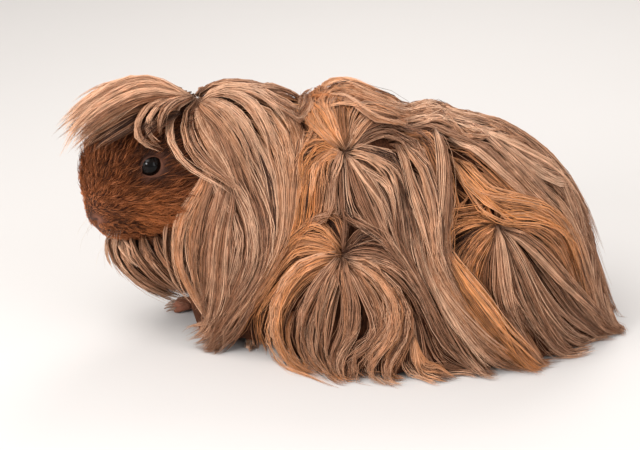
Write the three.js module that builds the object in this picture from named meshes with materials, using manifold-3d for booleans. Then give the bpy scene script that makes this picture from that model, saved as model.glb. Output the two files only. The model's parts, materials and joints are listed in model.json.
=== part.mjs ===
// A long-haired guinea pig with rosettes, standing on all four feet with its head lowered and turned
// a little to its left. Life size, in millimetres: +Z up, head towards -X, the animal's left side
// towards -Y, origin on the floor under the middle of the coat.
//
// The animal is a core of flesh (trunk, neck, head, ears, eyes, legs, feet) inside a dome of long
// coat that reaches the floor all round. The dome is hollow under the belly, where the legs stand,
// and thin cuts part it into the mane, the rosettes, the side locks and the rump coat.

import * as THREE from "three";
import { mergeVertices } from "three/addons/utils/BufferGeometryUtils.js";
import Module from "manifold-3d";

const wasm = await Module();
wasm.setup();

// ---------------------------------------------------------------- driving dimensions
const GAP = 0.35; // clearance between touching pieces
const COAT = { front: -80, rear: 139.5, rounds: 27, across: 22, fullness: 0.83 }; // the dome and its mesh
const COAT_ENDS = { front: [-80, -66], rear: [112, 136] }; // the whorls and grooves fade out over these x
const DOME_END = { share: 0.8, length: 10 }; // the dome is a little smaller at its very front
const SKIRT_LEVEL = 62; // height of the widest part of the body
const CHEST_TUCK = { reach: 9, height: 46, until: -44 }; // the mane's front slopes back to the floor
const FLOOR_FADE = 10; // the whorls and grooves fade out below this height
const FAR_LEAD = 9; // the right side of the mane comes this far forward round the turned neck
const CURTAIN = 15; // thickness of the coat that hangs to the floor
const TIP_FLARE = { reach: 5, height: 7, pitch: 23 }; // lock tips that spread on the floor
const GROOVE = { depth: 3.2, width: 4 }; // where two parts of the coat meet
const WHORL = { crown: 4.2, lobes: 9, lobeDepth: 0.75, dip: 7, dipReach: 8, perDegree: 1.5 };
const TORSO = { front: -86, rear: 113, neckCut: -60, rounds: 13, across: 16 };
const BELLY = { front: -66, rear: 103, roof: 46, taper: 12, rounds: 8 }; // the room under the belly
const BELLY_WALL = { least: 8, beyondRoof: 6, ofTorso: 0.96, level: 0.65, shut: 0.1 };
const HEAD = {
  centre: [-97.5, -14.6, 94], // between the eyes
  yaw: 20,
  pitch: 30,
  back: -36,
  nose: 38.4,
  rounds: 14,
  across: 18,
  cheek: 0.1, // how much fuller the cheeks are below than above
};
const EYE = { radius: 6, side: 18.9, rise: 0.4, faces: 12 };
const EAR = { ahead: -31, rise: -1, side: 18.5, length: 27, width: 19, thick: 3.2, droop: 0.72, splay: 4 };
const EAR_SHAPE = { rounds: 7, across: 8, base: 0.14, taper: 0.82, cup: 0.035, above: 3, slant: 5, curl: 1.9 };
const NOSTRIL = { ahead: 37.6, rise: -14.4, side: 4.2, radius: 1.7, long: 1.4, high: 1.3 };
const MOUTH = { ahead: 36, rise: -25.5, halfWidth: 10, depth: 7, gap: 1.4 };
const CLEFT = { beyond: 2, depth: 4, rise: 4.5, width: 1.2 };
const FORELOCK = {
  root: [-35, 0, 5], // on the head: behind the eyes, between the ears
  fan: 72,
  reach: 73,
  sideReach: 24,
  arch: 15,
  drop: 23,
  sideDrop: 9,
  thick: 13,
  halfRoot: 15,
  locks: 7,
  across: 18,
  along: 5,
};
// How the forelock's curve changes from its root to its tips and from its middle to its sides.
const FORELOCK_CURVE = {
  lockDip: 0.14, // how much shorter the hair is between two lock tips
  sideLoss: 0.3,
  archFrom: 0.16,
  archOver: 0.74,
  fallPower: 2.2,
  rootThickness: 0.55,
  rootGather: 0.35,
  tipThickness: 0.006,
  sideThickness: 0.02,
};
const BEARD = { front: -117, rear: -70, side: 12, halfWidth: 14, narrowing: 0.45, rounds: 8, across: 12 };
const BEARD_TURN = 0.55; // share of its sideways place that the beard loses towards the chest
const LEG = { steps: 5, across: 8, top: 1.25, wrist: 0.62, flatness: 0.85, bend: 0.45, footBehind: 0.7, ankle: 7 };
const TOE = { half: 1.5, base: 3.5, baseHalf: 1.65, setBack: 1.4 };
const HEEL_POINTS = 7;
const CLAW = { length: 6, spread: 0.7 };
const FOOT_ROOM = { ahead: 3, width: 0.85, above: 1, across: 12 };
const WHOLE = 400; // a length beyond the whole animal, for the blocks that cut it
const FOOT_LEVELS = [[0, 0.95], [0.2, 1], [0.45, 0.86], [0.8, 0.62], [1, 0.36]]; // height, size of the ring

// Outline of the coat: height over the spine, half width at the widest level, half width on the floor.
const coatTop = line([
  [-80, 113], [-64, 121.5], [-44, 122], [-21, 115], [-2, 120], [24, 113], [56, 108], [84, 97],
  [106, 80], [121, 56], [131, 30], [139.5, 6],
]);
const coatWidth = line([
  [-80, 40], [-62, 53], [-40, 58], [-18, 58], [10, 66], [58, 67], [88, 59], [112, 43], [129, 24], [139.5, 8],
]);
const coatFloor = line([
  [-80, 34], [-66, 38], [-44, 37], [-30, 48], [-8, 68], [22, 73], [56, 69], [96, 57], [124, 31], [139.5, 12],
]);

// The torso under the coat: half width, upper line and lower line.
const torsoWidth = line([[-86, 22], [-70, 31], [-45, 40], [0, 47], [50, 50], [88, 42], [113, 20]]);
const torsoTop = line([[-86, 104], [-70, 108], [-45, 109], [0, 107], [56, 96], [88, 82], [113, 58]]);
const torsoBottom = line([[-86, 74], [-70, 46], [-45, 31], [0, 27], [70, 27], [113, 36]]);

// The head along its own axis, from the nape to the nose: upper line, lower line and half width.
const headTop = line([[-36, 4], [-22, 13], [-6, 18.5], [8, 19.5], [19, 16.5], [27, 10], [33, 1], [38.4, -9]]);
const headBottom = line([[-36, -30], [-20, -39], [0, -41], [14, -38], [26, -32.5], [34, -27], [38.4, -20]]);
const headWidth = line([[-36, 19], [-22, 25.5], [-8, 27], [6, 25], [18, 20], [28, 15], [34, 12], [38.4, 8]]);

// The beard, from its front to the chest: upper line, lower line and share of the half width.
const beardTop = line([[-117, 49], [-109, 58], [-96, 63], [-70, 62]]);
const beardBottom = line([[-117, 43], [-111, 25], [-98, 10], [-70, 2.5]]);
const beardWidth = line([[-117, 0.25], [-109, 0.8], [-92, 1.2], [-70, 1.25]]);

// Whorls of the coat, on both flanks: x, angle down from the spine in degrees, reach of the dome.
const ROSETTES = [
  { x: 0.5, angle: 29, reach: 26 },
  { x: -1, angle: 63, reach: 30 },
  { x: 78.5, angle: 46, reach: 30 },
];

// Where the coat parts, from the floor up: x at each height.
const PARTINGS = {
  mane: line([[-6, -40], [14, -38], [42, -30], [66, -24], [90, -21], [135, -20]]),
  lock: line([[-6, 57], [18, 52], [44, 42], [66, 35], [90, 31], [135, 31]]),
  hip: line([[-6, 108], [16, 92], [40, 68], [62, 57], [84, 55], [135, 56]]),
  rump: line([[-6, 126], [26, 121], [60, 104], [83, 80], [94, 55]]),
};
const PARTING_TOP = { mane: 135, lock: 135, hip: 135, rump: 94 };
const PARTING_STEPS = 9;
// The parting between the two whorls of the flank: height at each x.
const rosetteParting = line([[-24, 62], [-10, 76], [10, 79], [33, 76]]);

// Legs: where each foot stands, where the leg leaves the body, its thickness, and the foot's length,
// width and height.
const LEGS = [
  { name: "fore_left", x: -50, y: -22, hip: [-44, -24, 62], size: 9, sole: [20, 13, 8], toes: 4 },
  { name: "fore_right", x: -77, y: 15, hip: [-62, 19, 62], size: 9, sole: [20, 13, 8], toes: 4 },
  { name: "hind_left", x: 70, y: -30, hip: [74, -29, 52], size: 12, sole: [33, 14, 9], toes: 3 },
  { name: "hind_right", x: 76, y: 30, hip: [80, 29, 52], size: 12, sole: [33, 14, 9], toes: 3 },
];

// Coat pieces by the furthest they reach back, out and up.
const COAT_PIECES = {
  mane: [-20, 54, 123],
  rosette_upper: [33, 55, 120],
  rosette_lower: [56, 77, 79],
  side_lock: [104, 71, 111],
  rosette_hip: [125, 62, 93],
  rump_coat: [140, 61, 106],
};
const SMALLEST_PIECE = 400; // cubic millimetres: smaller scraps left by the cuts are dropped

// ---------------------------------------------------------------- helpers
const radians = THREE.MathUtils.degToRad;

// A smooth function through a few points: cubic pieces with averaged slopes.
function line(points) {
  const slopes = points.map((_, i) => {
    const a = points[Math.max(0, i - 1)];
    const b = points[Math.min(points.length - 1, i + 1)];
    return (b[1] - a[1]) / (b[0] - a[0]);
  });
  return (x) => {
    const at = THREE.MathUtils.clamp(x, points[0][0], points.at(-1)[0]);
    let i = 0;
    while (i < points.length - 2 && at > points[i + 1][0]) i++;
    const [x0, y0] = points[i];
    const [x1, y1] = points[i + 1];
    const h = x1 - x0;
    const t = (at - x0) / h;
    const s = 1 - t;
    return (
      y0 * (1 + 2 * t) * s * s + y1 * t * t * (3 - 2 * t) + h * t * s * (slopes[i] * s - slopes[i + 1] * t)
    );
  };
}

// A closed skin over rings of equal length, with a fan over each end.
function loft(rings) {
  const across = rings[0].length;
  const places = rings.flat().flatMap((p) => [p.x, p.y, p.z]);
  const index = [];
  for (let r = 0; r + 1 < rings.length; r++)
    for (let i = 0; i < across; i++) {
      const a = r * across + i;
      const b = r * across + ((i + 1) % across);
      index.push(a, b, b + across, a, b + across, a + across);
    }
  for (const [ring, first] of [[0, 0], [rings.length - 1, (rings.length - 1) * across]]) {
    const centre = rings[ring].reduce((sum, p) => sum.add(p), new THREE.Vector3()).divideScalar(across);
    const apex = places.length / 3;
    places.push(centre.x, centre.y, centre.z);
    for (let i = 0; i < across; i++) {
      const pair = [first + i, first + ((i + 1) % across)];
      index.push(...(ring ? pair : pair.reverse()), apex);
    }
  }
  const made = new THREE.BufferGeometry();
  made.setAttribute("position", new THREE.Float32BufferAttribute(places, 3));
  made.setIndex(index);
  return made;
}

// A three.js geometry as a solid, turned the right way out.
function solid(geometry) {
  const bare = geometry.clone();
  for (const name of ["normal", "uv"]) bare.deleteAttribute(name);
  const merged = mergeVertices(bare, 1e-4);
  const triVerts = new Uint32Array(merged.index.array);
  const vertProperties = merged.attributes.position.array;
  const made = new wasm.Manifold(new wasm.Mesh({ numProp: 3, vertProperties, triVerts }));
  if (made.volume() > 0) return made;
  for (let i = 0; i < triVerts.length; i += 3) triVerts.subarray(i, i + 2).reverse();
  return new wasm.Manifold(new wasm.Mesh({ numProp: 3, vertProperties, triVerts }));
}

function geometryOf(manifold) {
  const mesh = manifold.getMesh();
  const made = new THREE.BufferGeometry();
  const places = new Float32Array(mesh.numVert * 3);
  for (let i = 0; i < mesh.numVert; i++)
    places.set(mesh.vertProperties.subarray(i * mesh.numProp, i * mesh.numProp + 3), i * 3);
  made.setAttribute("position", new THREE.BufferAttribute(places, 3));
  made.setIndex(new THREE.BufferAttribute(mesh.triVerts, 1));
  return made.toNonIndexed();
}

const less = (piece, ...cutters) => cutters.reduce((left, cutter) => left.subtract(cutter), piece);
const joined = (pieces) => pieces.reduce((sum, piece) => sum.add(piece));

// Evenly spaced values that crowd a little towards both ends, where outlines turn fastest.
function stations(from, to, count) {
  return Array.from({ length: count + 1 }, (_, i) => {
    const t = i / count;
    const eased = 0.5 - 0.5 * Math.cos(Math.PI * t);
    return from + (to - from) * (0.45 * t + 0.55 * eased);
  });
}

// A ball squeezed to three radii, turned by a matrix if one is given.
function ball(radii, centre, turn = null, segments = 12) {
  const made = new THREE.SphereGeometry(1, segments, Math.max(5, segments / 2));
  made.scale(...radii);
  if (turn) made.applyMatrix4(turn);
  made.translate(...centre);
  return made;
}

// ---------------------------------------------------------------- flesh
// An upright ellipse across the animal at one x, which may narrow towards the floor.
function uprightRing(x, middleY, halfWidth, bottom, top, across, narrowing = 0) {
  return Array.from({ length: across }, (_, i) => {
    const turn = (i / across) * 2 * Math.PI;
    const z = (top + bottom) / 2 + ((top - bottom) / 2) * Math.cos(turn);
    const width = halfWidth * (1 + narrowing * Math.cos(turn));
    return new THREE.Vector3(x, middleY + width * Math.sin(turn), z);
  });
}

function torso(grow = 0) {
  const rings = stations(TORSO.front, TORSO.rear, TORSO.rounds).map((x) =>
    uprightRing(
      x + Math.sign(x) * grow,
      0,
      torsoWidth(x) + grow,
      torsoBottom(x) - grow,
      torsoTop(x) + grow,
      TORSO.across,
    ),
  );
  return solid(loft(rings));
}

// The head's own axes: ahead along the nose, up, and towards the animal's left.
const yaw = radians(HEAD.yaw);
const pitch = radians(HEAD.pitch);
const heading = new THREE.Vector3(-Math.cos(yaw), -Math.sin(yaw), 0);
const ahead = heading.clone().multiplyScalar(Math.cos(pitch)).setZ(-Math.sin(pitch));
const upward = heading.clone().multiplyScalar(Math.sin(pitch)).setZ(Math.cos(pitch));
const leftward = new THREE.Vector3(Math.sin(yaw), -Math.cos(yaw), 0);
const headTurn = new THREE.Matrix4().makeBasis(ahead, upward, leftward.clone().negate());

function onHead(forward, side, rise) {
  return new THREE.Vector3(...HEAD.centre)
    .addScaledVector(ahead, forward)
    .addScaledVector(leftward, side)
    .addScaledVector(upward, rise);
}

function headShape(grow = 0) {
  const rings = stations(HEAD.back, HEAD.nose, HEAD.rounds).map((forward) => {
    const middle = (headTop(forward) + headBottom(forward)) / 2;
    const half = (headTop(forward) - headBottom(forward)) / 2 + grow;
    return Array.from({ length: HEAD.across }, (_, i) => {
      const turn = (i / HEAD.across) * 2 * Math.PI;
      const cheek = 1 - HEAD.cheek * Math.cos(turn);
      const side = (headWidth(forward) + grow) * cheek * Math.sin(turn);
      return onHead(forward + Math.sign(forward) * grow, side, middle + half * Math.cos(turn));
    });
  });
  return solid(loft(rings));
}

function eye(side, grow = 0) {
  const radius = EYE.radius + grow;
  const centre = onHead(0, side * EYE.side, EYE.rise);
  return solid(ball([radius, radius, radius], centre, headTurn, EYE.faces));
}

// A drooping petal, hung from the side of the crown.
function ear(side, grow = 0) {
  const { rounds, base, taper, cup, above, slant, curl } = EAR_SHAPE;
  const rings = stations(0, 1, rounds).map((t) => {
    const width = (EAR.width / 2) * Math.sin(Math.PI * (base + taper * t)) + grow;
    return Array.from({ length: EAR_SHAPE.across }, (_, i) => {
      const turn = (i / EAR_SHAPE.across) * 2 * Math.PI;
      const across = width * Math.cos(turn);
      const through = (EAR.thick / 2 + grow) * Math.sin(turn);
      const out = EAR.side + through - cup * across * across + EAR.splay * Math.sin(curl * t);
      const rise = EAR.rise + above - (EAR.length * EAR.droop + above) * t;
      return onHead(EAR.ahead + across + slant * t, side * out, rise);
    });
  });
  return solid(loft(rings));
}

function nostril(side) {
  const { ahead: forward, rise, radius, long, high } = NOSTRIL;
  const centre = onHead(forward, side * NOSTRIL.side, rise);
  return solid(ball([radius * long, radius * high, radius], centre, headTurn, 6));
}

// The line of the mouth, and the cleft above it.
function mouth() {
  const { ahead: forward, rise, halfWidth, depth, gap } = MOUTH;
  const lips = ball([depth, gap / 2, halfWidth], onHead(forward, 0, rise), headTurn, 8);
  const centre = onHead(forward + CLEFT.beyond, 0, rise + CLEFT.rise);
  const cleft = ball([CLEFT.depth, CLEFT.rise, CLEFT.width / 2], centre, headTurn, 6);
  return solid(lips).add(solid(cleft));
}

// A leg from the body down to the wrist or heel.
function leg({ x, y, hip, size }, grow = 0) {
  const { steps, across, top, wrist, flatness, bend, footBehind, ankle } = LEG;
  const lower = new THREE.Vector3(x + size * footBehind, y, ankle - grow);
  const upper = new THREE.Vector3(...hip);
  const knee = upper.clone().lerp(lower, 0.5).add(new THREE.Vector3(size * bend, 0, 0));
  const path = new THREE.QuadraticBezierCurve3(upper, knee, lower);
  const rings = path.getPoints(steps).map((p, k) => {
    const radius = THREE.MathUtils.lerp(size * top, size * wrist, k / steps) + grow;
    return Array.from({ length: across }, (_, i) => {
      const turn = (i / across) * 2 * Math.PI;
      const out = new THREE.Vector3(radius * Math.cos(turn), radius * flatness * Math.sin(turn), 0);
      return p.clone().add(out);
    });
  });
  return solid(loft(rings));
}

// A foot, flat underneath: a sole with rounded toes that end in claws, narrowing upwards.
function foot({ x, y, sole, toes }) {
  const [length, width, height] = sole;
  const outline = [];
  for (let i = 0; i < toes; i++) {
    const place = i - (toes - 1) / 2;
    const side = (place * width) / toes;
    const front = length / 2 - Math.abs(place) * TOE.setBack;
    const tip = [front + CLAW.length, side + place * CLAW.spread];
    outline.push([front - TOE.base, side - TOE.baseHalf], [front, side - TOE.half], tip);
    outline.push([front, side + TOE.half]);
  }
  for (let i = 0; i < HEEL_POINTS; i++) {
    const turn = Math.PI * (0.5 + (i + 0.5) / HEEL_POINTS);
    outline.push([(length / 2) * Math.cos(turn), (width / 2) * Math.sin(turn)]);
  }
  const rings = FOOT_LEVELS.map(([rise, scale]) =>
    outline.map(([forward, side]) => new THREE.Vector3(x - forward * scale, y - side * scale, rise * height)),
  );
  return solid(loft(rings));
}

// The oval room that the coat leaves for a foot.
function footRoom({ x, y, sole: [length, width, height] }) {
  const { ahead: beyond, width: share, above, across } = FOOT_ROOM;
  const room = new THREE.CylinderGeometry(1, 1, 2, across);
  room.rotateX(Math.PI / 2);
  room.scale(length / 2 + CLAW.length + beyond, width * share, height + above);
  room.translate(x, y, 0);
  return solid(room);
}

// ---------------------------------------------------------------- coat
// Each whorl is a low dome of lobes round a dip where the hair springs from.
function whorlRelief(x, angle) {
  return ROSETTES.reduce((sum, whorl) => {
    const dx = x - whorl.x;
    const dy = (angle - whorl.angle) * WHORL.perDegree;
    const far = Math.hypot(dx, dy);
    const lobes = WHORL.lobeDepth * Math.cos(WHORL.lobes * Math.atan2(dy, dx));
    const dome = (WHORL.crown + lobes) * Math.exp(-((far / whorl.reach) ** 2));
    return sum + dome - WHORL.dip * Math.exp(-((far / WHORL.dipReach) ** 2));
  }, 0);
}

// The coat sinks a little along the upright partings.
function grooves(x, z) {
  return ["mane", "lock", "hip"].reduce((sum, name) => {
    const off = (x - PARTINGS[name](z)) / GROOVE.width;
    return sum - GROOVE.depth * Math.exp(-off * off);
  }, 0);
}

// A point of the coat's surface, at x and an angle down from the spine; positive angles are right.
function coatPoint(x, turn, grow) {
  const side = Math.sign(turn) || 1;
  const angle = radians(Math.abs(turn));
  const level = coatTop(x) * Math.cos(angle);
  const under = Math.max(0, 1 - level / SKIRT_LEVEL) ** 2;
  const width = coatWidth(x) * Math.sin(angle) ** COAT.fullness + (coatFloor(x) - coatWidth(x)) * under;
  const tips = 0.5 + 0.5 * Math.cos((2 * Math.PI * x) / TIP_FLARE.pitch);
  const flare = TIP_FLARE.reach * tips * Math.exp(-level / TIP_FLARE.height);
  const { front, rear } = COAT_ENDS;
  const ends = THREE.MathUtils.smoothstep(x, ...front) * (1 - THREE.MathUtils.smoothstep(x, ...rear));
  const relief = (whorlRelief(x, Math.abs(turn)) + grooves(x, level)) * ends * Math.min(1, level / FLOOR_FADE);
  const lean = Math.atan2(width / coatWidth(x), level / coatTop(x));
  const out = relief + grow;
  const near = 1 - THREE.MathUtils.smoothstep(x, COAT.front, CHEST_TUCK.until);
  const tuck = CHEST_TUCK.reach * near * Math.max(0, 1 - level / CHEST_TUCK.height) ** 2;
  const lead = side > 0 ? FAR_LEAD * near * Math.sin(angle) : 0;
  return new THREE.Vector3(
    x + tuck - lead,
    side * Math.max(0, width + flare + out * Math.sin(lean)),
    Math.max(0, level + out * Math.cos(lean)),
  );
}

function dome(grow = 0) {
  const rings = stations(COAT.front, COAT.rear, COAT.rounds).map((x) => {
    const { share, length } = DOME_END;
    const rounding = share + (1 - share) * THREE.MathUtils.smoothstep(x, COAT.front, COAT.front + length);
    const shift = Math.abs(x - COAT.front) < 1 ? -grow : 0;
    return Array.from({ length: COAT.across + 1 }, (_, i) => {
      const p = coatPoint(x, -90 + (180 * i) / COAT.across, grow);
      return new THREE.Vector3(p.x + shift, p.y * rounding, p.z * (0.5 + 0.5 * rounding) - grow);
    });
  });
  return solid(loft(rings));
}

// The room under the belly, between the curtains of coat.
function bellyRoom() {
  const { front, rear, roof, taper, rounds } = BELLY;
  const wall = BELLY_WALL;
  const rings = stations(front, rear, rounds).map((x) => {
    const shut = Math.sqrt(Math.min(1, wall.shut + (x - front) / taper, wall.shut + (rear - x) / taper));
    const high = torsoWidth(x) * wall.ofTorso * shut;
    const low = Math.max(wall.least, Math.min(high + wall.beyondRoof, coatFloor(x) - CURTAIN)) * shut;
    const right = [[low, -1], [high, roof * wall.level], [high, roof]];
    const left = right.map(([y, z]) => [-y, z]).reverse();
    return [...right, ...left].map(([y, z]) => new THREE.Vector3(x, y, z));
  });
  return solid(loft(rings));
}

// A wall across the animal, as thin as the gap, through a line of points given as x and z.
function sheetAlong(points, offset) {
  const there = points.map((p) => p.clone().add(offset));
  const back = points.map((p) => p.clone().sub(offset)).reverse();
  const sides = [...there, ...back];
  const made = new THREE.ExtrudeGeometry(new THREE.Shape(sides), { depth: WHOLE, bevelEnabled: false });
  made.rotateX(Math.PI / 2);
  made.translate(0, WHOLE / 2, 0);
  return solid(made);
}

function uprightSheet(name) {
  const points = Array.from({ length: PARTING_STEPS + 1 }, (_, i) => {
    const z = -6 + ((PARTING_TOP[name] + 6) * i) / PARTING_STEPS;
    return new THREE.Vector2(PARTINGS[name](z), z);
  });
  return sheetAlong(points, new THREE.Vector2(GAP / 2, 0));
}

function rosetteSheet() {
  const from = PARTINGS.mane(rosetteParting(-24)) - GAP;
  const to = PARTINGS.lock(rosetteParting(33)) + GAP;
  const points = Array.from({ length: PARTING_STEPS + 1 }, (_, i) => {
    const x = from + ((to - from) * i) / PARTING_STEPS;
    return new THREE.Vector2(x, rosetteParting(x));
  });
  return sheetAlong(points, new THREE.Vector2(0, GAP / 2));
}

// The fringe that springs from the crown, rises and falls forward over the brow in pointed locks.
function forelockPoint(u, s, through) {
  const { root, fan, reach, sideReach, arch, drop, sideDrop, thick, halfRoot, locks } = FORELOCK;
  const curve = FORELOCK_CURVE;
  const sideways = u * u;
  const angle = radians(u * fan);
  const direction = heading.clone().multiplyScalar(Math.cos(angle));
  direction.addScaledVector(leftward, Math.sin(angle));
  const lockTip = 1 - curve.lockDip * (1 - Math.abs(Math.cos((locks * Math.PI * u) / 2)));
  const length = THREE.MathUtils.lerp(reach, sideReach, sideways) * lockTip * s;
  const nearMiddle = 1 - curve.sideLoss * sideways;
  const rise = arch * nearMiddle * Math.sin(Math.PI * (curve.archFrom + curve.archOver * s));
  const fall = THREE.MathUtils.lerp(drop, sideDrop, sideways) * s ** curve.fallPower;
  const atTip = Math.sqrt(Math.max(curve.tipThickness, 1 - s * s));
  const atSide = Math.sqrt(Math.max(curve.sideThickness, 1 - u ** 6));
  const swell = THREE.MathUtils.lerp(curve.rootThickness, 1, s);
  const depth = thick * nearMiddle * swell * atTip * atSide * through;
  return onHead(root[0], u * halfRoot * (1 - curve.rootGather * s), root[2])
    .addScaledVector(direction, length)
    .add(new THREE.Vector3(0, 0, rise - fall + depth));
}

function forelock() {
  const { across, along } = FORELOCK;
  const steps = Array.from({ length: along + 1 }, (_, k) => k / along);
  const rings = Array.from({ length: across + 1 }, (_, i) => {
    const u = -1 + (2 * i) / across;
    const above = steps.map((s) => forelockPoint(u, s, 0.5));
    const below = steps.map((s) => forelockPoint(u, s, -0.5));
    return [...above, ...below.reverse()];
  });
  return solid(loft(rings));
}

// The long hair that hangs from the throat, fuller on the far side of the lowered head.
function beard() {
  const rings = stations(BEARD.front, BEARD.rear, BEARD.rounds).map((x) => {
    const back = (x - BEARD.front) / (BEARD.rear - BEARD.front);
    const width = BEARD.halfWidth * beardWidth(x);
    const middle = BEARD.side * (1 - BEARD_TURN * back);
    return uprightRing(x, middle, width, beardBottom(x), beardTop(x), BEARD.across, BEARD.narrowing);
  });
  return solid(loft(rings));
}

// ---------------------------------------------------------------- pieces
const nodes = new Map();
const torsoRoom = torso(GAP);
const headRoom = headShape(GAP);

function halfSpace(from, direction) {
  const made = new THREE.BoxGeometry(WHOLE, WHOLE, WHOLE);
  return solid(made.translate(from + (direction * WHOLE) / 2, 0, 0));
}

nodes.set("trunk", [less(torso(), halfSpace(TORSO.neckCut + GAP / 2, -1)), "coat"]);
nodes.set("neck", [less(torso(), halfSpace(TORSO.neckCut - GAP / 2, 1)), "coat"]);

const earRooms = [];
let head = less(headShape(), torsoRoom, nostril(1), nostril(-1), mouth());
for (const [name, side] of [["left", 1], ["right", -1]]) {
  head = head.subtract(eye(side, GAP));
  nodes.set("eye_" + name, [eye(side), "eye"]);
  nodes.set("ear_" + name, [less(ear(side), headRoom, torsoRoom), "ear"]);
  earRooms.push(ear(side, GAP));
}
nodes.set("head", [head, "face"]);

const legRooms = [];
for (const place of LEGS) {
  nodes.set(place.name + "_leg", [less(leg(place), torsoRoom), "coat"]);
  nodes.set(place.name + "_foot", [less(foot(place), leg(place, GAP)), "foot"]);
  legRooms.push(leg(place, GAP), footRoom(place));
}

const coat = less(dome(), torsoRoom, headRoom, bellyRoom(), ...earRooms, ...legRooms);
const spineSheet = new THREE.BoxGeometry(WHOLE, GAP, WHOLE);
const sheets = [
  ...Object.keys(PARTINGS).map(uprightSheet),
  rosetteSheet(),
  solid(spineSheet),
];
const found = {};
for (const piece of less(coat, ...sheets).decompose()) {
  if (piece.volume() < SMALLEST_PIECE) continue;
  const box = piece.boundingBox();
  const isLeft = box.min[1] < -1;
  const reach = [box.max[0], isLeft ? -box.min[1] : box.max[1], box.max[2]];
  const away = (place) => Math.hypot(...place.map((value, i) => value - reach[i]));
  const [kind] = Object.entries(COAT_PIECES).sort((p, q) => away(p[1]) - away(q[1]))[0];
  const name = kind + (isLeft ? "_left" : "_right");
  if (!found[name] || found[name].volume() < piece.volume()) found[name] = piece;
}
for (const [name, piece] of Object.entries(found)) nodes.set(name, [piece, "coat"]);

const coatRoom = dome(GAP);
nodes.set("forelock", [less(forelock(), headRoom, coatRoom, ...earRooms), "coat"]);
nodes.set("beard", [less(beard(), headRoom, torsoRoom, coatRoom, ...legRooms), "coat"]);

// ---------------------------------------------------------------- finishes
const FINISHES = {
  coat: { color: 0x9a6d51, roughness: 0.75, metalness: 0 },
  face: { color: 0x70412a, roughness: 0.8, metalness: 0 },
  ear: { color: 0x8a5a48, roughness: 0.6, metalness: 0 },
  foot: { color: 0x8f5a43, roughness: 0.7, metalness: 0 },
  eye: { color: 0x120c0b, roughness: 0.08, metalness: 0 },
};

const group = new THREE.Group();
for (const [name, [piece, finish]] of nodes) {
  const whole = piece.decompose().sort((p, q) => q.volume() - p.volume())[0];
  const mesh = new THREE.Mesh(geometryOf(whole), new THREE.MeshStandardMaterial(FINISHES[finish]));
  mesh.name = name;
  group.add(mesh);
}

export default group;
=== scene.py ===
import json
import math

import bmesh
import bpy
import numpy as np
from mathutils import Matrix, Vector

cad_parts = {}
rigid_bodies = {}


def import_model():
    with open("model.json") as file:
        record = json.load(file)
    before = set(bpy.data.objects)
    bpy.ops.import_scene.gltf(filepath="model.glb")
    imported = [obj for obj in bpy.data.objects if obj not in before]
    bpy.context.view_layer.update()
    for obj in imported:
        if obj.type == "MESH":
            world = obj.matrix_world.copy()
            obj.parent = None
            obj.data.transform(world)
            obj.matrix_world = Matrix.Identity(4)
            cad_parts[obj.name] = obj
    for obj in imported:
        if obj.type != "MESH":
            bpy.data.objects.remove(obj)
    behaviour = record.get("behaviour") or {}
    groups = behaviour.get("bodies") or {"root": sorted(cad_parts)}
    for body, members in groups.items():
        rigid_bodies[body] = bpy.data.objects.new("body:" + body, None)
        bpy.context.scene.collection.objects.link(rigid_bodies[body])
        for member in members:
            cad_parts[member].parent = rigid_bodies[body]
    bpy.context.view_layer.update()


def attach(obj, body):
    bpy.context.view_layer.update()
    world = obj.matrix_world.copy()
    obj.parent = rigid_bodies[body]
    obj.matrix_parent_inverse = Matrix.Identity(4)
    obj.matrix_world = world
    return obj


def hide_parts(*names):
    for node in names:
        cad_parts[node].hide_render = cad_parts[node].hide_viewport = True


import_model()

# A long-haired guinea pig with rosettes: a skin, eyes and claws under a coat of mesh strands.
# The shapes are worked out in millimetres and turned into metres where a mesh is made.
mm = 0.001
rng = np.random.default_rng(41)


def line(points):
    # a smooth function through a few (place, value) points, level beyond its ends
    at, value = np.array(points, float).T
    slope = np.empty_like(value)
    slope[0] = (value[1] - value[0]) / (at[1] - at[0])
    slope[-1] = (value[-1] - value[-2]) / (at[-1] - at[-2])
    slope[1:-1] = (value[2:] - value[:-2]) / (at[2:] - at[:-2])

    def valueAt(x):
        x = np.clip(x, at[0], at[-1])
        i = np.clip(np.searchsorted(at, x, side="right") - 1, 0, len(at) - 2)
        h = at[i + 1] - at[i]
        t = (x - at[i]) / h
        s = 1 - t
        ends = value[i] * (1 + 2 * t) * s * s + value[i + 1] * t * t * (3 - 2 * t)
        return ends + h * t * s * (slope[i] * s - slope[i + 1] * t)

    return valueAt


def ease(x, start, end):
    t = np.clip((x - start) / (end - start), 0, 1)
    return t * t * (3 - 2 * t)


def mix(a, b, t):
    return a + (b - a) * t


def unit(v):
    return v / np.maximum(np.linalg.norm(v, axis=-1, keepdims=True), 1e-9)


def swell(place, centre, reach):
    # 1 at a centre, fading away round it
    return np.exp(-((place - centre) ** 2).sum(-1) / reach**2)


def newObject(name, mesh):
    obj = bpy.data.objects.new(name, mesh)
    bpy.context.scene.collection.objects.link(obj)
    return obj


def addField(mesh, name, values):
    mesh.attributes.new(name, "FLOAT", "POINT").data.foreach_set("value", values.astype(np.float32))


def readAll(items, name, shape=(), kind=np.float32):
    # one value, or one row of values, from each item of a mesh
    values = np.empty((len(items), *shape), kind)
    items.foreach_get(name, values.ravel())
    return values


# ---- what the materials and node trees share
def colour(r, g, b):
    # display values of 0 to 255 as a linear colour
    parts = []
    for c in (r / 255, g / 255, b / 255):
        parts.append(c / 12.92 if c <= 0.04045 else ((c + 0.055) / 1.055) ** 2.4)
    return (*parts, 1)


def newFinish(name, roughness, gloss=0.5):
    material = bpy.data.materials.new(name)
    material.use_nodes = True
    shader = material.node_tree.nodes["Principled BSDF"]
    shader.inputs["Roughness"].default_value = roughness
    shader.inputs["Specular IOR Level"].default_value = gloss
    return material, material.node_tree, shader


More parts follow.
